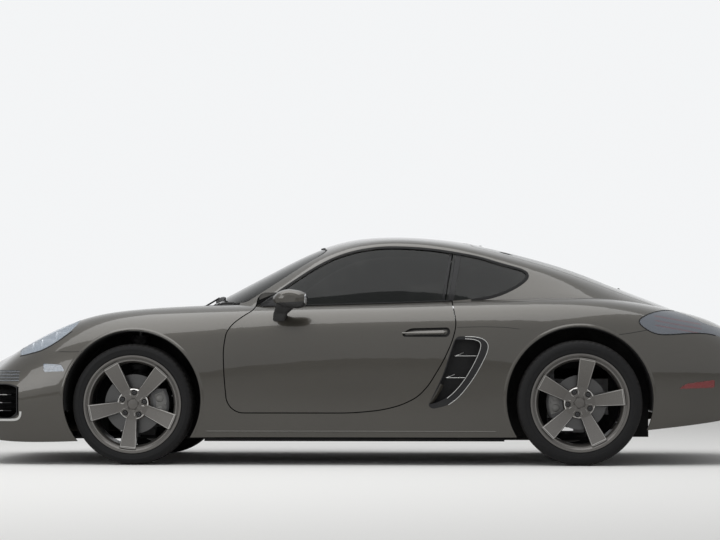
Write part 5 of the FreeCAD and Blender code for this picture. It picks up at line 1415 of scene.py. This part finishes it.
@dataclass
class WheelDetail:
    """Tyres with tread, and the wheels' nuts, lip rings, caps, spoke faces and calipers.

    A profile is a closed outline of (distance along the axle, radius) points; a pair of values is
    for the front and the rear axle.
    """

    lug_circle: float = 0.065
    hub_offset: tuple[float, float] = (0.057, 0.045)
    bead_radius: float = 0.254
    flange_rise: float = 0.0175
    lip_inset: float = 0.005
    grooves: tuple[float, ...] = (-0.62, -0.22, 0.22, 0.62)
    groove_half: float = 0.05
    groove_depth: float = 0.007
    steps_round: int = 320
    cuts: int = 64
    cut_slant: float = 2.2
    cut_share: float = 0.2
    cut_depth: float = 0.004
    shoulder_depth: float = 0.002
    uncut_half: float = 0.28
    spoke_count: int = 5
    spoke_turn: float = 72.0
    spoke_along: tuple[float, ...] = (
        .031, .038, .044, .0526, .057, .062, .068, .071, .074, .08, .086, .12, .16, .2, .238, .2475)
    spoke_half: Plan = (
        (.031, .02), (.038, .0225), (.044, .0215), (.0526, .0195), (.062, .0222), (.068, .0275), (.074, .031),
        (.086, .0325), (.2475, .047))
    spoke_bevel: Plan = ((.031, .007), (.06, .0075), (.09, .0038))
    spoke_depth: Plan = ((.031, .018), (.07, .018), (.095, .0038))
    spoke_hollow: float = 0.001
    spoke_middle: float = 0.0013
    caliper_radius: tuple[float, float] = (0.165, 0.15)
    caliper_angle: tuple[float, float] = (math.pi, 0.0)
    caliper_half_turn: float = 0.42
    caliper_steps: int = 22
    caliper_section: Plan = (
        (-0.036, -0.005), (0.036, -0.005), (0.036, 0.002), (0.026, 0.0085), (-0.02, 0.0095), (-0.036, 0.003))
    caliper_back: float = 0.0383
    caliper_rise: float = 0.0235
    boss: Plan = ((0.0, 0.0), (0.0, 0.023), (0.0095, 0.022), (0.0125, 0.018), (0.0125, 0.0))
    boss_turns: tuple[float, ...] = (-0.22, 0.22)
    bolt: Plan = ((0.0, 0.0), (0.0, 0.0065), (0.0115, 0.006), (0.0125, 0.004), (0.0125, 0.0))
    bolt_turns: tuple[float, ...] = (-0.39, 0.0, 0.39)
    nut: Plan = (
        (0.0095, 0.0), (0.0095, 0.0145), (0.012, 0.0145), (0.013, 0.011), (0.026, 0.0098), (0.027, 0.0085),
        (0.027, 0.0055), (0.021, 0.005), (0.021, 0.0))
    valve: Plan = (
        (-0.02, 0.0), (-0.02, 0.005), (0.006, 0.0045), (0.007, 0.0035), (0.024, 0.0035), (0.025, 0.0))
    valve_circle: float = 0.226
    valve_inset: float = 0.04

    def run(self) -> None:
        """Finishes all four wheels."""
        for place, (axle, offset) in enumerate(zip(AXLES, self.hub_offset)):
            paint = wheel_paint(axle)
            parts = (
                ("wheel_nuts", self.fittings(axle, offset), STEEL, "suspension_metal"),
                ("wheel_lip", self.lip(axle), LIP, "alloy"),
                ("wheel_cap", self.cap(axle, offset), paint, "alloy"),
                ("spoke_faces", self.spokes(axle, offset), paint, "alloy"))
            tyre = self.tyre(axle)
            caliper = self.caliper(axle, offset, self.caliper_radius[place], self.caliper_angle[place])
            for side in Side:
                tail = f"{axle.end}_{side.word}"
                body = f"wheel_{tail}"
                turn = (lambda form: form) if side is Side.LEFT else Form.mirrored
                made = turn(tyre).add(f"tread_{tail}", tyre_rubber(axle), body, "tyre")
                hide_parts(f"tyre_{tail}")
                for name, form, finish, slot in parts:
                    turn(form).add(f"{name}_{tail}", finish, body, slot)
                holder = f"knuckle_{side.word}" if axle.end == "front" else "root"
                turn(caliper).add(f"caliper_{tail}", CALIPER, holder, "suspension_metal")
        LOG.info("wheels finished")

    def tyre(self, axle: Axle) -> Form:
        """Tyre whose tread has ring grooves and slanted cuts.

        Across the tread, s runs from -1 to 1. A cut lies where the fraction of (turns x cuts +
        slant x s) is below the cut's share; the middle has ring grooves only, the shoulders cuts only.

        Args:
            axle: the axle whose left wheel it is.

        Returns:
            The tyre.
        """
        half, radius = axle.width / 2, axle.radius
        flange = self.bead_radius + self.flange_rise
        seat = self.bead_radius
        s = np.sort(np.concatenate([np.linspace(-1, 1, 25)] + [
            np.array([g - 0.06, g - 0.045, g + 0.045, g + 0.06]) for g in self.grooves]))
        tread_y = s * (half - 0.016)
        tread_r = radius - 0.0045 * np.abs(s) ** 3
        wall = np.array([
            (half - 0.009, radius - 0.011), (half - 0.004, radius - 0.02), (half - 0.0005, radius - 0.034),
            (half, flange + 0.034), (half - 0.0006, flange + 0.027), (half - 0.0018, flange + 0.0262),
            (half - 0.0028, flange + 0.012), (half - 0.006, flange + 0.004), (half - 0.0122, flange + 0.001),
            (half - 0.0125, seat + 0.0006), (half - 0.022, seat + 0.0006), (half - 0.024, seat + 0.009),
            (half - 0.016, flange + 0.03), (half - 0.02, radius - 0.019)])
        inner_wall = wall[::-1] * (-1, 1)
        y = np.concatenate([tread_y, wall[:, 0], inner_wall[:, 0]])
        r = np.concatenate([tread_r, wall[:, 1], inner_wall[:, 1]])
        angle = np.linspace(0, 2 * math.pi, self.steps_round, endpoint=False)[:, None]
        turned = angle / (2 * math.pi) * self.cuts

        def cut_at(place: np.ndarray, deep: float) -> np.ndarray:
            """Depth of the cuts at places across the tread."""
            return np.where((turned + self.cut_slant * place) % 1.0 < self.cut_share, deep, 0.0)

        cut = cut_at(s[None], self.cut_depth) * np.where(np.abs(s) > self.uncut_half, 1.0, 0.0)[None]
        ring = np.zeros(len(s))
        for middle in self.grooves:
            ring = np.where(np.abs(s - middle) < self.groove_half, self.groove_depth, ring)
        depth = np.zeros((self.steps_round, len(y)))
        depth[:, :len(s)] = np.maximum(cut, ring[None])
        depth[:, len(s)] = cut_at(np.array([[1.0]]), self.shoulder_depth)[:, 0]
        depth[:, -1] = cut_at(np.array([[-1.0]]), self.shoulder_depth)[:, 0]
        reach = r[None] - depth
        centre = axle.centre(Side.LEFT)
        grid = np.stack([centre[0] + reach * np.cos(angle), np.broadcast_to(centre[1] + y, reach.shape),
                         centre[2] + reach * np.sin(angle)], -1)
        return Form(grid.reshape(-1, 3), grid_faces(self.steps_round, len(y), True, True))

    def spokes(self, axle: Axle, offset: float) -> Form:
        """Broad faces of the five spokes, over the bars of the CAD rim.

        Half width, bevel and depth are read from tables of distances from the axle; beside each nut
        the half width follows a circle round it. The face is hollowed a little along its middle.

        Args:
            axle: the axle whose left wheel it is.
            offset: distance of the hub's face from the wheel's middle.

        Returns:
            The spokes' faces.
        """
        along = np.array(self.spoke_along)
        lip = axle.width / 2 - self.lip_inset
        front = ((.031, offset + .0322), (.044, offset + .0326), (.086, offset + .0318), (.2475, lip - .0033))
        behind = ((.031, offset + .012), (.086, offset + .008), (.2475, lip - .034))
        wide, soft, deep, face, back = (
            np.interp(along, *np.array(table).T)
            for table in (self.spoke_half, self.spoke_bevel, self.spoke_depth, front, behind))
        flat, hollow, middle = wide - soft, face - self.spoke_hollow, face - self.spoke_middle
        across = np.stack([-wide, -wide, -flat, -flat / 2, 0 * wide, flat / 2, flat, wide, wide], axis=1)
        height = np.stack([back, face - deep, face, hollow, middle, hollow, face, face - deep, back], axis=1)
        rows, columns = across.shape
        ahead = np.repeat(along[:, None], columns, 1)
        faces = grid_faces(rows, columns, False, True)
        faces += [list(range(columns))[::-1], [(rows - 1) * columns + k for k in range(columns)]]
        forms = []
        for k in range(self.spoke_count):
            angle = math.radians(axle.first_spoke + self.spoke_turn * k)
            x = ahead * math.cos(angle) - across * math.sin(angle)
            z = ahead * math.sin(angle) + across * math.cos(angle)
            places = np.stack([x, height, z], axis=2).reshape(-1, 3)
            forms.append(Form(places + axle.centre(Side.LEFT), faces))
        return joined(forms)

    def caliper(self, axle: Axle, offset: float, radius: float, middle: float) -> Form:
        """Outer half of a brake caliper: a curved body with two piston bosses and three bolts.

        Args:
            axle: the axle whose left wheel it is beside.
            offset: distance of the hub's face from the wheel's middle.
            radius: distance of the caliper's middle from the axle.
            middle: its angle round the axle, in radians from straight ahead.

        Returns:
            The caliper's outer half.
        """
        centre = axle.centre(Side.LEFT)
        face = centre[1] + offset - self.caliper_back + self.caliper_rise
        steps = self.caliper_steps
        turn = np.linspace(-self.caliper_half_turn, self.caliper_half_turn, steps) + middle
        arc = np.column_stack([centre[0] + (radius - 0.012) * np.cos(turn), np.full(steps, face),
                               centre[2] + (radius - 0.012) * np.sin(turn)])
        forms = [sweep(arc, np.tile((0.0, 1.0, 0.0), (steps, 1)), self.caliper_section)]
        for turns, reach, profile, sides in ((self.boss_turns, radius - 0.016, self.boss, 28),
                                             (self.bolt_turns, radius + 0.012, self.bolt, 12)):
            for step in turns:
                spot = (centre[0] + reach * math.cos(middle + step), face,
                        centre[2] + reach * math.sin(middle + step))
                forms.append(lathe(spot, profile, sides))
        return joined(forms)

    def fittings(self, axle: Axle, offset: float) -> Form:
        """Five wheel nuts with their washers, and the valve between two spokes.

        Args:
            axle: the axle whose left wheel it is.
            offset: distance of the hub's face from the wheel's middle.

        Returns:
            The nuts and the valve.
        """
        centre, circle = axle.centre(Side.LEFT), self.lug_circle
        first = axle.first_spoke + self.spoke_turn / 2
        forms = []
        for k in range(self.spoke_count):
            angle = math.radians(first + self.spoke_turn * k)
            spot = centre + np.array([math.cos(angle), offset / circle, math.sin(angle)]) * circle
            forms.append(lathe(spot, self.nut, 24))
        angle = math.radians(first)
        spot = centre + np.array([math.cos(angle), 0, math.sin(angle)]) * self.valve_circle
        spot[1] = centre[1] + axle.width / 2 - self.valve_inset
        forms.append(lathe(spot, self.valve, 16))
        return joined(forms)

    def lip(self, axle: Axle) -> Form:
        """Painted ring on the outer lip of the rim, and a second, thinner one inside it.

        Args:
            axle: the axle whose left wheel it is.

        Returns:
            Both rings.
        """
        centre = axle.centre(Side.LEFT)
        half = axle.width / 2 - self.lip_inset
        seat, flange = self.bead_radius, self.bead_radius + self.flange_rise
        outer = [(half - 0.002, flange - 0.0105), (half + 0.0012, flange - 0.0105),
                 (half + 0.0018, flange - 0.006), (half + 0.0012, flange - 0.0008),
                 (half - 0.002, flange - 0.0008)]
        inner = [(half - 0.0115, seat - 0.0125), (half - 0.0085, seat - 0.0125),
                 (half - 0.0085, seat - 0.009), (half - 0.0115, seat - 0.009)]
        return joined([lathe(centre, profile, 160) for profile in (outer, inner)])

    def cap(self, axle: Axle, offset: float) -> Form:
        """Plain centre cap with a shallow dome and a fine step round it.

        Args:
            axle: the axle whose left wheel it is.
            offset: distance of the hub's face from the wheel's middle.

        Returns:
            The cap.
        """
        back, front = offset + 0.021, offset + 0.0315
        profile = [(back, 0.0), (back, 0.0335), (front - 0.003, 0.0335), (front - 0.0006, 0.0318),
                   (front - 0.0006, 0.0296), (front - 0.0018, 0.0288), (front - 0.0018, 0.028),
                   (front, 0.0262), (front + 0.0012, 0.014), (front + 0.0016, 0.0)]
        return lathe(axle.centre(Side.LEFT), profile, 64)


def aimed(form: Form, place: np.ndarray, direction: np.ndarray) -> Form:
    """A form turned so that its +X points along a direction, and moved to a place."""
    turn = np.array(Vector((1, 0, 0)).rotation_difference(Vector(direction)).to_matrix())
    return Form(form.points @ turn.T + np.asarray(place), form.faces)


def slab(low: Sequence[float], high: Sequence[float], soft: float = 0.004) -> Form:
    """Box with its upright edges cut and a smaller top.

    Args:
        low: its lowest corner.
        high: its highest corner.
        soft: how much is cut off the edges.

    Returns:
        The box.
    """
    (x0, y0, z0), (x1, y1, z1) = low, high
    flat = np.array([
        (x0 + soft, y0), (x1 - soft, y0), (x1, y0 + soft), (x1, y1 - soft),
        (x1 - soft, y1), (x0 + soft, y1), (x0, y1 - soft), (x0, y0 + soft)])
    middle = np.array([(x0 + x1) / 2, (y0 + y1) / 2])
    reach = np.array([(x1 - x0) / 2, (y1 - y0) / 2])
    inner = middle + (flat - middle) * (1 - soft / reach)
    levels = [np.column_stack([flat, np.full(8, z0)]), np.column_stack([flat, np.full(8, z1 - soft)]),
              np.column_stack([inner, np.full(8, z1)])]
    faces = grid_faces(3, 8, False, True) + [list(range(8)), list(range(16, 24))]
    return Form(np.concatenate(levels), faces)


@dataclass
class LampDetail:
    """Rings and domes in the headlamps, and rings behind the tail lamps' covers."""

    head_units: tuple[tuple[float, float, float, float], ...] = (
        # front x, y, z, radius
        (1.772, 0.705, 0.668, 0.03), (1.7, 0.65, 0.715, 0.026), (1.835, 0.64, 0.655, 0.024))
    tail_units: tuple[Triple, ...] = (
        # x, z, radius
        (-1.655, 0.79, 0.03), (-1.76, 0.792, 0.034), (-1.87, 0.765, 0.026))
    wall: float = 0.005
    dome_rise: float = 0.45
    dome_back: float = 0.008
    tail_depth: float = 0.016

    def run(self) -> None:
        """Fits both ends."""
        rings, domes = [], []
        for x, y, z, radius in self.head_units:
            inner = radius - self.wall
            ring = [(-0.012, inner - 0.006), (0.002, inner), (0.004, inner + 0.003), (0.002, radius),
                    (-0.004, radius), (-0.014, inner - 0.002)]
            rings.append(lathe((x, y, z), ring, 48, 0))
            rise = self.dome_rise * inner
            curve = [(0.001 + rise * math.cos(a), inner * math.sin(a)) for a in np.radians(range(90, 0, -15))]
            dome = [(0.0, 0.0), *curve, (0.001 + rise, 0.0)]
            domes.append(lathe((x - self.dome_back, y, z), dome, 48, 0))
        both(joined(rings)).add("headlamp_rings", CHROME, "root", "alloy")
        both(joined(domes)).add("headlamp_domes", CLEAR_DOME, "root", "lamp_clear")
        skin = Skin("rear_lamp_lenses")
        rings = []
        for x, z, radius in self.tail_units:
            places, normals = skin.side(np.array([(x, z)] * 3))
            profile = [(-0.006, radius - 0.006), (0.0, radius - 0.004), (0.0, radius), (-0.006, radius)]
            ring = lathe((0, 0, 0), profile, 40, 0)
            rings.append(aimed(ring, places[0] - normals[0] * self.tail_depth, normals[0]))
        both(joined(rings)).add("tail_lamp_rings", CHROME, "root", "alloy")
        LOG.info("lamps fitted")


@dataclass
class MirrorGlass:
    """Silvered glasses in the rear faces of the door mirrors."""

    middle: tuple[float, float] = (0.921, 0.918)
    half_size: tuple[float, float] = (0.044, 0.03)
    start_x: float = 0.1
    thickness: float = 0.0012
    sunk: float = 0.002
    rings: int = 6
    around: int = 48

    def run(self) -> None:
        """Rounded plate laid on each housing's rear face, as rings that shrink to its middle.

        Its edge is a superellipse: |y / a|^3 + |z / b|^3 = 1.
        """
        rings, around = self.rings, self.around
        angle = np.linspace(0, 2 * math.pi, around, endpoint=False)
        turned = np.stack([np.cos(angle), np.sin(angle)], 1)
        edge = np.sign(turned) * np.abs(turned) ** (2 / 3) * self.half_size
        shares = np.linspace(1, 0.05, rings)[:, None, None]
        flat = (np.array(self.middle) + edge * shares).reshape(-1, 2)
        starts = np.column_stack([np.full(len(flat), self.start_x), flat])
        places, _ = Skin("mirror_left").cast(starts, (1, 0, 0), slack=0.03)
        top = places - (self.thickness, 0, 0)
        foot = places[:around] + (self.sunk, 0, 0)
        faces = grid_faces(rings + 1, around, False, True)
        faces += [list(range(rings * around, (rings + 1) * around)), list(range(around))]
        Form(np.concatenate([foot, top]), faces).add_to_doors("mirror_pane", MIRROR, "glass")
        LOG.info("mirror glasses fitted")


@dataclass
class Seat:
    """Bucket seat: a cushion, and a back that ends in the headrest, with raised sides and sewn channels.

    Each pad is a closed surface over a line seen from the side. u runs along the line and v from
    -1 to 1 across it. The upper side lies crown x (1 - v^2) above the line, plus bolster x a smooth
    step of |v| from 0.5 to 0.8, less the sewn channels; the underside is nearly flat.
    """

    middle_y: float = 0.36
    half_width: float = 0.232
    voxel: float = 0.006
    cap: float = 0.024
    pressure: float = 4.0
    frames: int = 20
    pads: tuple[tuple[str, Plan, float, float, float, Plan], ...] = (
        # name, line (x, z), thickness, bolster, crown, width share along the line
        ("cushion",
         ((-0.045, 0.262), (0.02, 0.262), (0.14, 0.272), (0.27, 0.288), (0.36, 0.288), (0.392, 0.27)),
         0.055, 0.03, 0.006, ((0.0, 0.9), (0.5, 1.0), (1.0, 0.93))),
        ("back",
         ((-0.03, 0.315), (-0.075, 0.42), (-0.13, 0.55), (-0.185, 0.69), (-0.222, 0.78), (-0.262, 0.88),
          (-0.278, 0.912)),
         0.06, 0.034, 0.006, ((0.0, 0.9), (0.4, 1.0), (0.66, 0.86), (0.8, 0.55), (0.93, 0.5), (1.0, 0.42))),
    )
    seam_y: float = 0.118
    seam_half: float = 0.0055
    channel_pitch: float = 0.062
    channel_half: float = 0.006
    sewn_depth: float = 0.0042

    def run(self) -> None:
        """Makes the left seat's pads and mirrors them to the right."""
        for name, line, thick, bolster, crown, widths in self.pads:
            form = self.pad(np.array(line), thick, bolster, crown, np.array(widths))
            made = form.add(f"seat_{name}_left", HIDE, "root", "leather")
            self.inflate(made)
            self.stitch(made, np.array(line))
            other = made.copy()
            other.data = made.data.copy()
            other.name = other.data.name = f"seat_{name}_right"
            other.data.vertices.foreach_set("co", (corners_of(other.data) * (1, -1, 1)).ravel())
            other.data.flip_normals()
            bpy.context.scene.collection.objects.link(other)
            for pad, side in ((made, Side.LEFT), (other, Side.RIGHT)):
                pad.modifiers.new("smooth", "SUBSURF").levels = 1
                pad.modifiers["smooth"].render_levels = 1
                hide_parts(f"seat_{side.word}")
        LOG.info("seats padded")

    def pad(self, line: np.ndarray, thick: float, bolster: float, crown: float, widths: np.ndarray) -> Form:
        """One closed pad over its line.

        Args:
            line: (x, z) points along it, seen from the side.
            thick: its thickness under the line.
            bolster: height of its raised sides.
            crown: height of its middle over the line.
            widths: (share of the line, share of the half width) points.

        Returns:
            The pad.
        """
        line = even(softened(line, 2, False), 0.008)
        u = np.linspace(0, 1, len(line))[:, None]
        along = unit(np.gradient(line, axis=0))
        up = np.stack([-along[:, 1], along[:, 0]], 1)
        if up[:, 1].mean() < 0:
            up = -up
        v = np.linspace(-1, 1, 41)[None]
        edge = np.clip((np.abs(v) - 0.5) / 0.3, 0, 1)
        ends = np.clip(np.minimum(u, 1 - u) / 0.09, 0, 1) ** 0.5
        raised = np.sin(np.pi * np.clip(u, 0.04, 0.9)) ** 0.4
        height = crown * (1 - v ** 2) + bolster * edge ** 2 * (3 - 2 * edge) * raised
        height = height - 0.02 * np.clip((np.abs(v) - 0.9) / 0.1, 0, 1) ** 2
        width = np.interp(u[:, 0], widths[:, 0], widths[:, 1])[:, None] * self.half_width
        lift = (height - (1 - ends) * 0.02)[..., None]
        drop = (thick * (0.35 + 0.65 * ends))[..., None]
        rounding = (1 - 0.25 * np.abs(v) ** 6)[..., None]
        base = line[:, None]
        top = base + up[:, None] * lift
        foot = base - up[:, None] * drop * rounding
        layers = np.concatenate([top, foot[:, ::-1]], 1)
        across = np.concatenate([v[0], v[0][::-1]])[None] * width + self.middle_y
        rows, columns = layers.shape[:2]
        grid = np.stack([layers[..., 0], np.broadcast_to(across, (rows, columns)), layers[..., 1]], -1)
        faces = grid_faces(rows, columns, False, True)
        faces += [list(range(columns)), list(range((rows - 1) * columns, rows * columns))]
        return Form(grid.reshape(-1, 3), faces)

    def inflate(self, pad: bpy.types.Object) -> None:
        """Remeshes a pad and lets cloth under pressure pull it taut; no point moves past the cap.

        Args:
            pad: the pad's object.
        """
        remesh = pad.modifiers.new("voxels", "REMESH")
        remesh.mode = "VOXEL"
        remesh.voxel_size = self.voxel
        self.keep(pad)
        before = corners_of(pad.data)
        cloth = pad.modifiers.new("cloth", "CLOTH")
        cloth.settings.use_pressure = True
        cloth.settings.uniform_pressure_force = self.pressure
        cloth.settings.quality = 4
        cloth.settings.effector_weights.gravity = 0.0
        cloth.point_cache.frame_start = 1
        cloth.point_cache.frame_end = self.frames
        for step in range(1, self.frames + 1):
            bpy.context.scene.frame_set(step)
        self.keep(pad)
        moved = corners_of(pad.data) - before
        length = np.linalg.norm(moved, axis=1, keepdims=True)
        moved *= np.minimum(1.0, self.cap / np.maximum(length, 1e-9))
        pad.data.vertices.foreach_set("co", (before + moved).ravel())
        bpy.context.scene.frame_set(1)

    def keep(self, pad: bpy.types.Object) -> None:
        """Applies the pad's modifiers.

        Args:
            pad: the pad's object.
        """
        solved = pad.evaluated_get(bpy.context.evaluated_depsgraph_get())
        mesh = bpy.data.meshes.new_from_object(solved)
        pad.modifiers.clear()
        pad.data = mesh
        mesh.polygons.foreach_set("use_smooth", np.full(len(mesh.polygons), True))

    def stitch(self, pad: bpy.types.Object, line: np.ndarray) -> None:
        """Presses sewn channels: depth falls off as exp(-(d / half)^2) from two seams and cross lines.

        Args:
            pad: the pad's object.
            line: (x, z) points along it, seen from the side.
        """
        points = corners_of(pad.data)
        aside = np.abs(points[:, 1] - self.middle_y)
        length = np.concatenate([[0], np.cumsum(np.linalg.norm(np.diff(line, axis=0), axis=1))])
        dense = even(line, 0.004)
        marks = np.linspace(0, length[-1], len(dense))
        gap = np.linalg.norm(points[:, None, [0, 2]] - dense[None], axis=-1)
        place = marks[gap.argmin(1)]
        seam = np.exp(-((aside - self.seam_y) / self.seam_half) ** 2)
        from_line = place % self.channel_pitch - self.channel_pitch / 2
        cross = np.exp(-(from_line / self.channel_half) ** 2) * (aside < self.seam_y)
        normals = np.empty(len(points) * 3)
        pad.data.vertices.foreach_get("normal", normals)
        depth = self.sewn_depth * np.maximum(seam, cross * 0.75)
        pad.data.vertices.foreach_set("co", (points - normals.reshape(-1, 3) * depth[:, None]).ravel())


@dataclass
class Cabin:
    """Dials, gear lever and floor mats."""

    dial_place: Triple = (0.474, 0.36, 0.83)
    dials: tuple[tuple[float, float], ...] = (
        # distance to the left of the middle dial, radius
        (0.0, 0.05), (0.075, 0.042), (-0.075, 0.042), (0.128, 0.032), (-0.128, 0.032))
    dial_wall: float = 0.003
    stalk_place: Triple = (0.16, 0.0, 0.397)
    stalk: Plan = (
        (0.0, 0.0), (0.0, 0.045), (0.02, 0.03), (0.05, 0.014), (0.1, 0.011), (0.105, 0.017), (0.12, 0.021),
        (0.14, 0.019), (0.148, 0.008), (0.149, 0.0))
    mat_x: tuple[float, float] = (0.08, 0.74)
    mat_z: tuple[float, float] = (0.1465, 0.158)
    mat_y: float = 0.38
    mat_half: float = 0.19

    def run(self) -> None:
        """Fits the cabin."""
        rings, faces = [], []
        x, y, z = self.dial_place
        for aside, radius in self.dials:
            spot, inner = (x, y + aside, z), radius - self.dial_wall
            ring = [(-0.008, inner), (-0.008, radius), (0.004, radius), (0.004, inner)]
            face = [(-0.004, 0.0), (-0.004, inner), (0.004, inner), (0.004, 0.0)]
            rings.append(lathe(spot, ring, 40, 0))
            faces.append(lathe(spot, face, 40, 0))
        joined(rings).add("dial_rings", SATIN, "root", "alloy")
        joined(faces).add("dial_faces", GLOSS_BLACK, "root", "cabin_plastic")
        lathe(self.stalk_place, self.stalk, 40, 2).add("gear_lever", HIDE, "root", "leather")
        (rear, front), (low, high) = self.mat_x, self.mat_z
        mats = [slab((rear, y - self.mat_half, low), (front, y + self.mat_half, high), 0.006)
                for y in (self.mat_y, -self.mat_y)]
        joined(mats).add("floor_mats", PILE, "root", "underbody")
        LOG.info("cabin fitted")


@dataclass
class Studio:
    """Floor, lamps, world light and the camera of the photograph."""

    floor_half: float = 60.0
    floor_colour: Colour = (0.8, 0.8, 0.79)
    camera_place: Triple = (-0.585, 14.098, 0.6275)
    camera_yaw: float = 0.0427
    camera_pitch: float = 0.0341
    focal_pixels: float = 2394.9
    image_width: float = 720.0
    sensor: float = 36.0
    soft_strength: float = 0.45
    backdrop: Colour = (0.9, 0.91, 0.92)
    rays: tuple[str, ...] = ("Is Camera Ray", "Is Glossy Ray", "Is Transmission Ray")
    lights: tuple[tuple[str, Triple, Triple, float, float], ...] = (
        # name, place, what it points at, size in metres, power in watts
        ("lamp_overhead", (0.6, 1.5, 6.5), (0, 0, 0.4), 7.0, 330.0),
        ("lamp_front", (6.0, 7.5, 3.4), (0, 0, 0.5), 4.0, 130.0))

    def run(self) -> None:
        """Builds the whole set."""
        self.floor()
        self.world()
        self.lamps()
        self.camera()
        LOG.info("studio built")

    def floor(self) -> None:
        """Plain pale floor."""
        half = self.floor_half
        corners = [(-half, -half, 0), (half, -half, 0), (half, half, 0), (-half, half, 0)]
        mesh = bpy.data.meshes.new("floor")
        mesh.from_pydata(corners, [], [(0, 1, 2, 3)])
        floor = bpy.data.objects.new("floor", mesh)
        bpy.context.scene.collection.objects.link(floor)
        g = Graph("floor_paint")
        mesh.materials.append(g.shade(Base_Color=self.floor_colour, Roughness=0.9, Specular_IOR_Level=0.1))

    def world(self) -> None:
        """Even soft light; camera, glossy and see-through rays meet a pale backdrop."""
        world = bpy.data.worlds.new("studio")
        bpy.context.scene.world = world
        world.use_nodes = True
        tree = world.node_tree
        tree.nodes.clear()
        out = tree.nodes.new("ShaderNodeOutputWorld")
        mix = tree.nodes.new("ShaderNodeMixShader")
        soft = tree.nodes.new("ShaderNodeBackground")
        soft.inputs[0].default_value = (1, 1, 1, 1)
        soft.inputs[1].default_value = self.soft_strength
        pale = tree.nodes.new("ShaderNodeBackground")
        pale.inputs[0].default_value = (*self.backdrop, 1)
        pale.inputs[1].default_value = 1.0
        rays = tree.nodes.new("ShaderNodeLightPath")
        seen = rays.outputs[self.rays[0]]
        for name in self.rays[1:]:
            most = tree.nodes.new("ShaderNodeMath")
            most.operation = "MAXIMUM"
            tree.links.new(seen, most.inputs[0])
            tree.links.new(rays.outputs[name], most.inputs[1])
            seen = most.outputs[0]
        tree.links.new(seen, mix.inputs[0])
        tree.links.new(soft.outputs[0], mix.inputs[1])
        tree.links.new(pale.outputs[0], mix.inputs[2])
        tree.links.new(mix.outputs[0], out.inputs[0])

    def lamps(self) -> None:
        """A large soft overhead lamp and a weaker one from ahead, on the camera's side."""
        for name, place, aim, size, power in self.lights:
            light = bpy.data.lights.new(name, "AREA")
            light.size = size
            light.energy = power
            lamp = bpy.data.objects.new(name, light)
            lamp.location = place
            lamp.rotation_euler = (Vector(aim) - Vector(place)).to_track_quat("-Z", "Y").to_euler()
            bpy.context.scene.collection.objects.link(lamp)

    def camera(self) -> None:
        """Camera at the photograph's place, direction and lens."""
        data = bpy.data.cameras.new("camera")
        data.sensor_width = self.sensor
        data.lens = self.focal_pixels / self.image_width * self.sensor
        data.clip_end = 200.0
        camera = bpy.data.objects.new("camera", data)
        camera.location = self.camera_place
        yaw, pitch = self.camera_yaw, self.camera_pitch
        ahead = Vector((math.sin(yaw) * math.cos(pitch), -math.cos(yaw) * math.cos(pitch), math.sin(pitch)))
        camera.rotation_mode = "QUATERNION"
        camera.rotation_quaternion = ahead.to_track_quat("-Z", "Y")
        bpy.context.scene.collection.objects.link(camera)
        bpy.context.scene.camera = camera


def main() -> None:
    """Builds the studio and dresses the car, piece by piece."""
    bpy.context.scene.view_settings.view_transform = "Standard"
    Studio().run()
    Dresser().run()
    GlassTrim().run()
    BodyTrim().run()
    LampDetail().run()
    MirrorGlass().run()
    WheelDetail().run()
    Seat().run()
    Cabin().run()


if __name__ == "__main__":
    logging.basicConfig(level=logging.INFO)
    main()
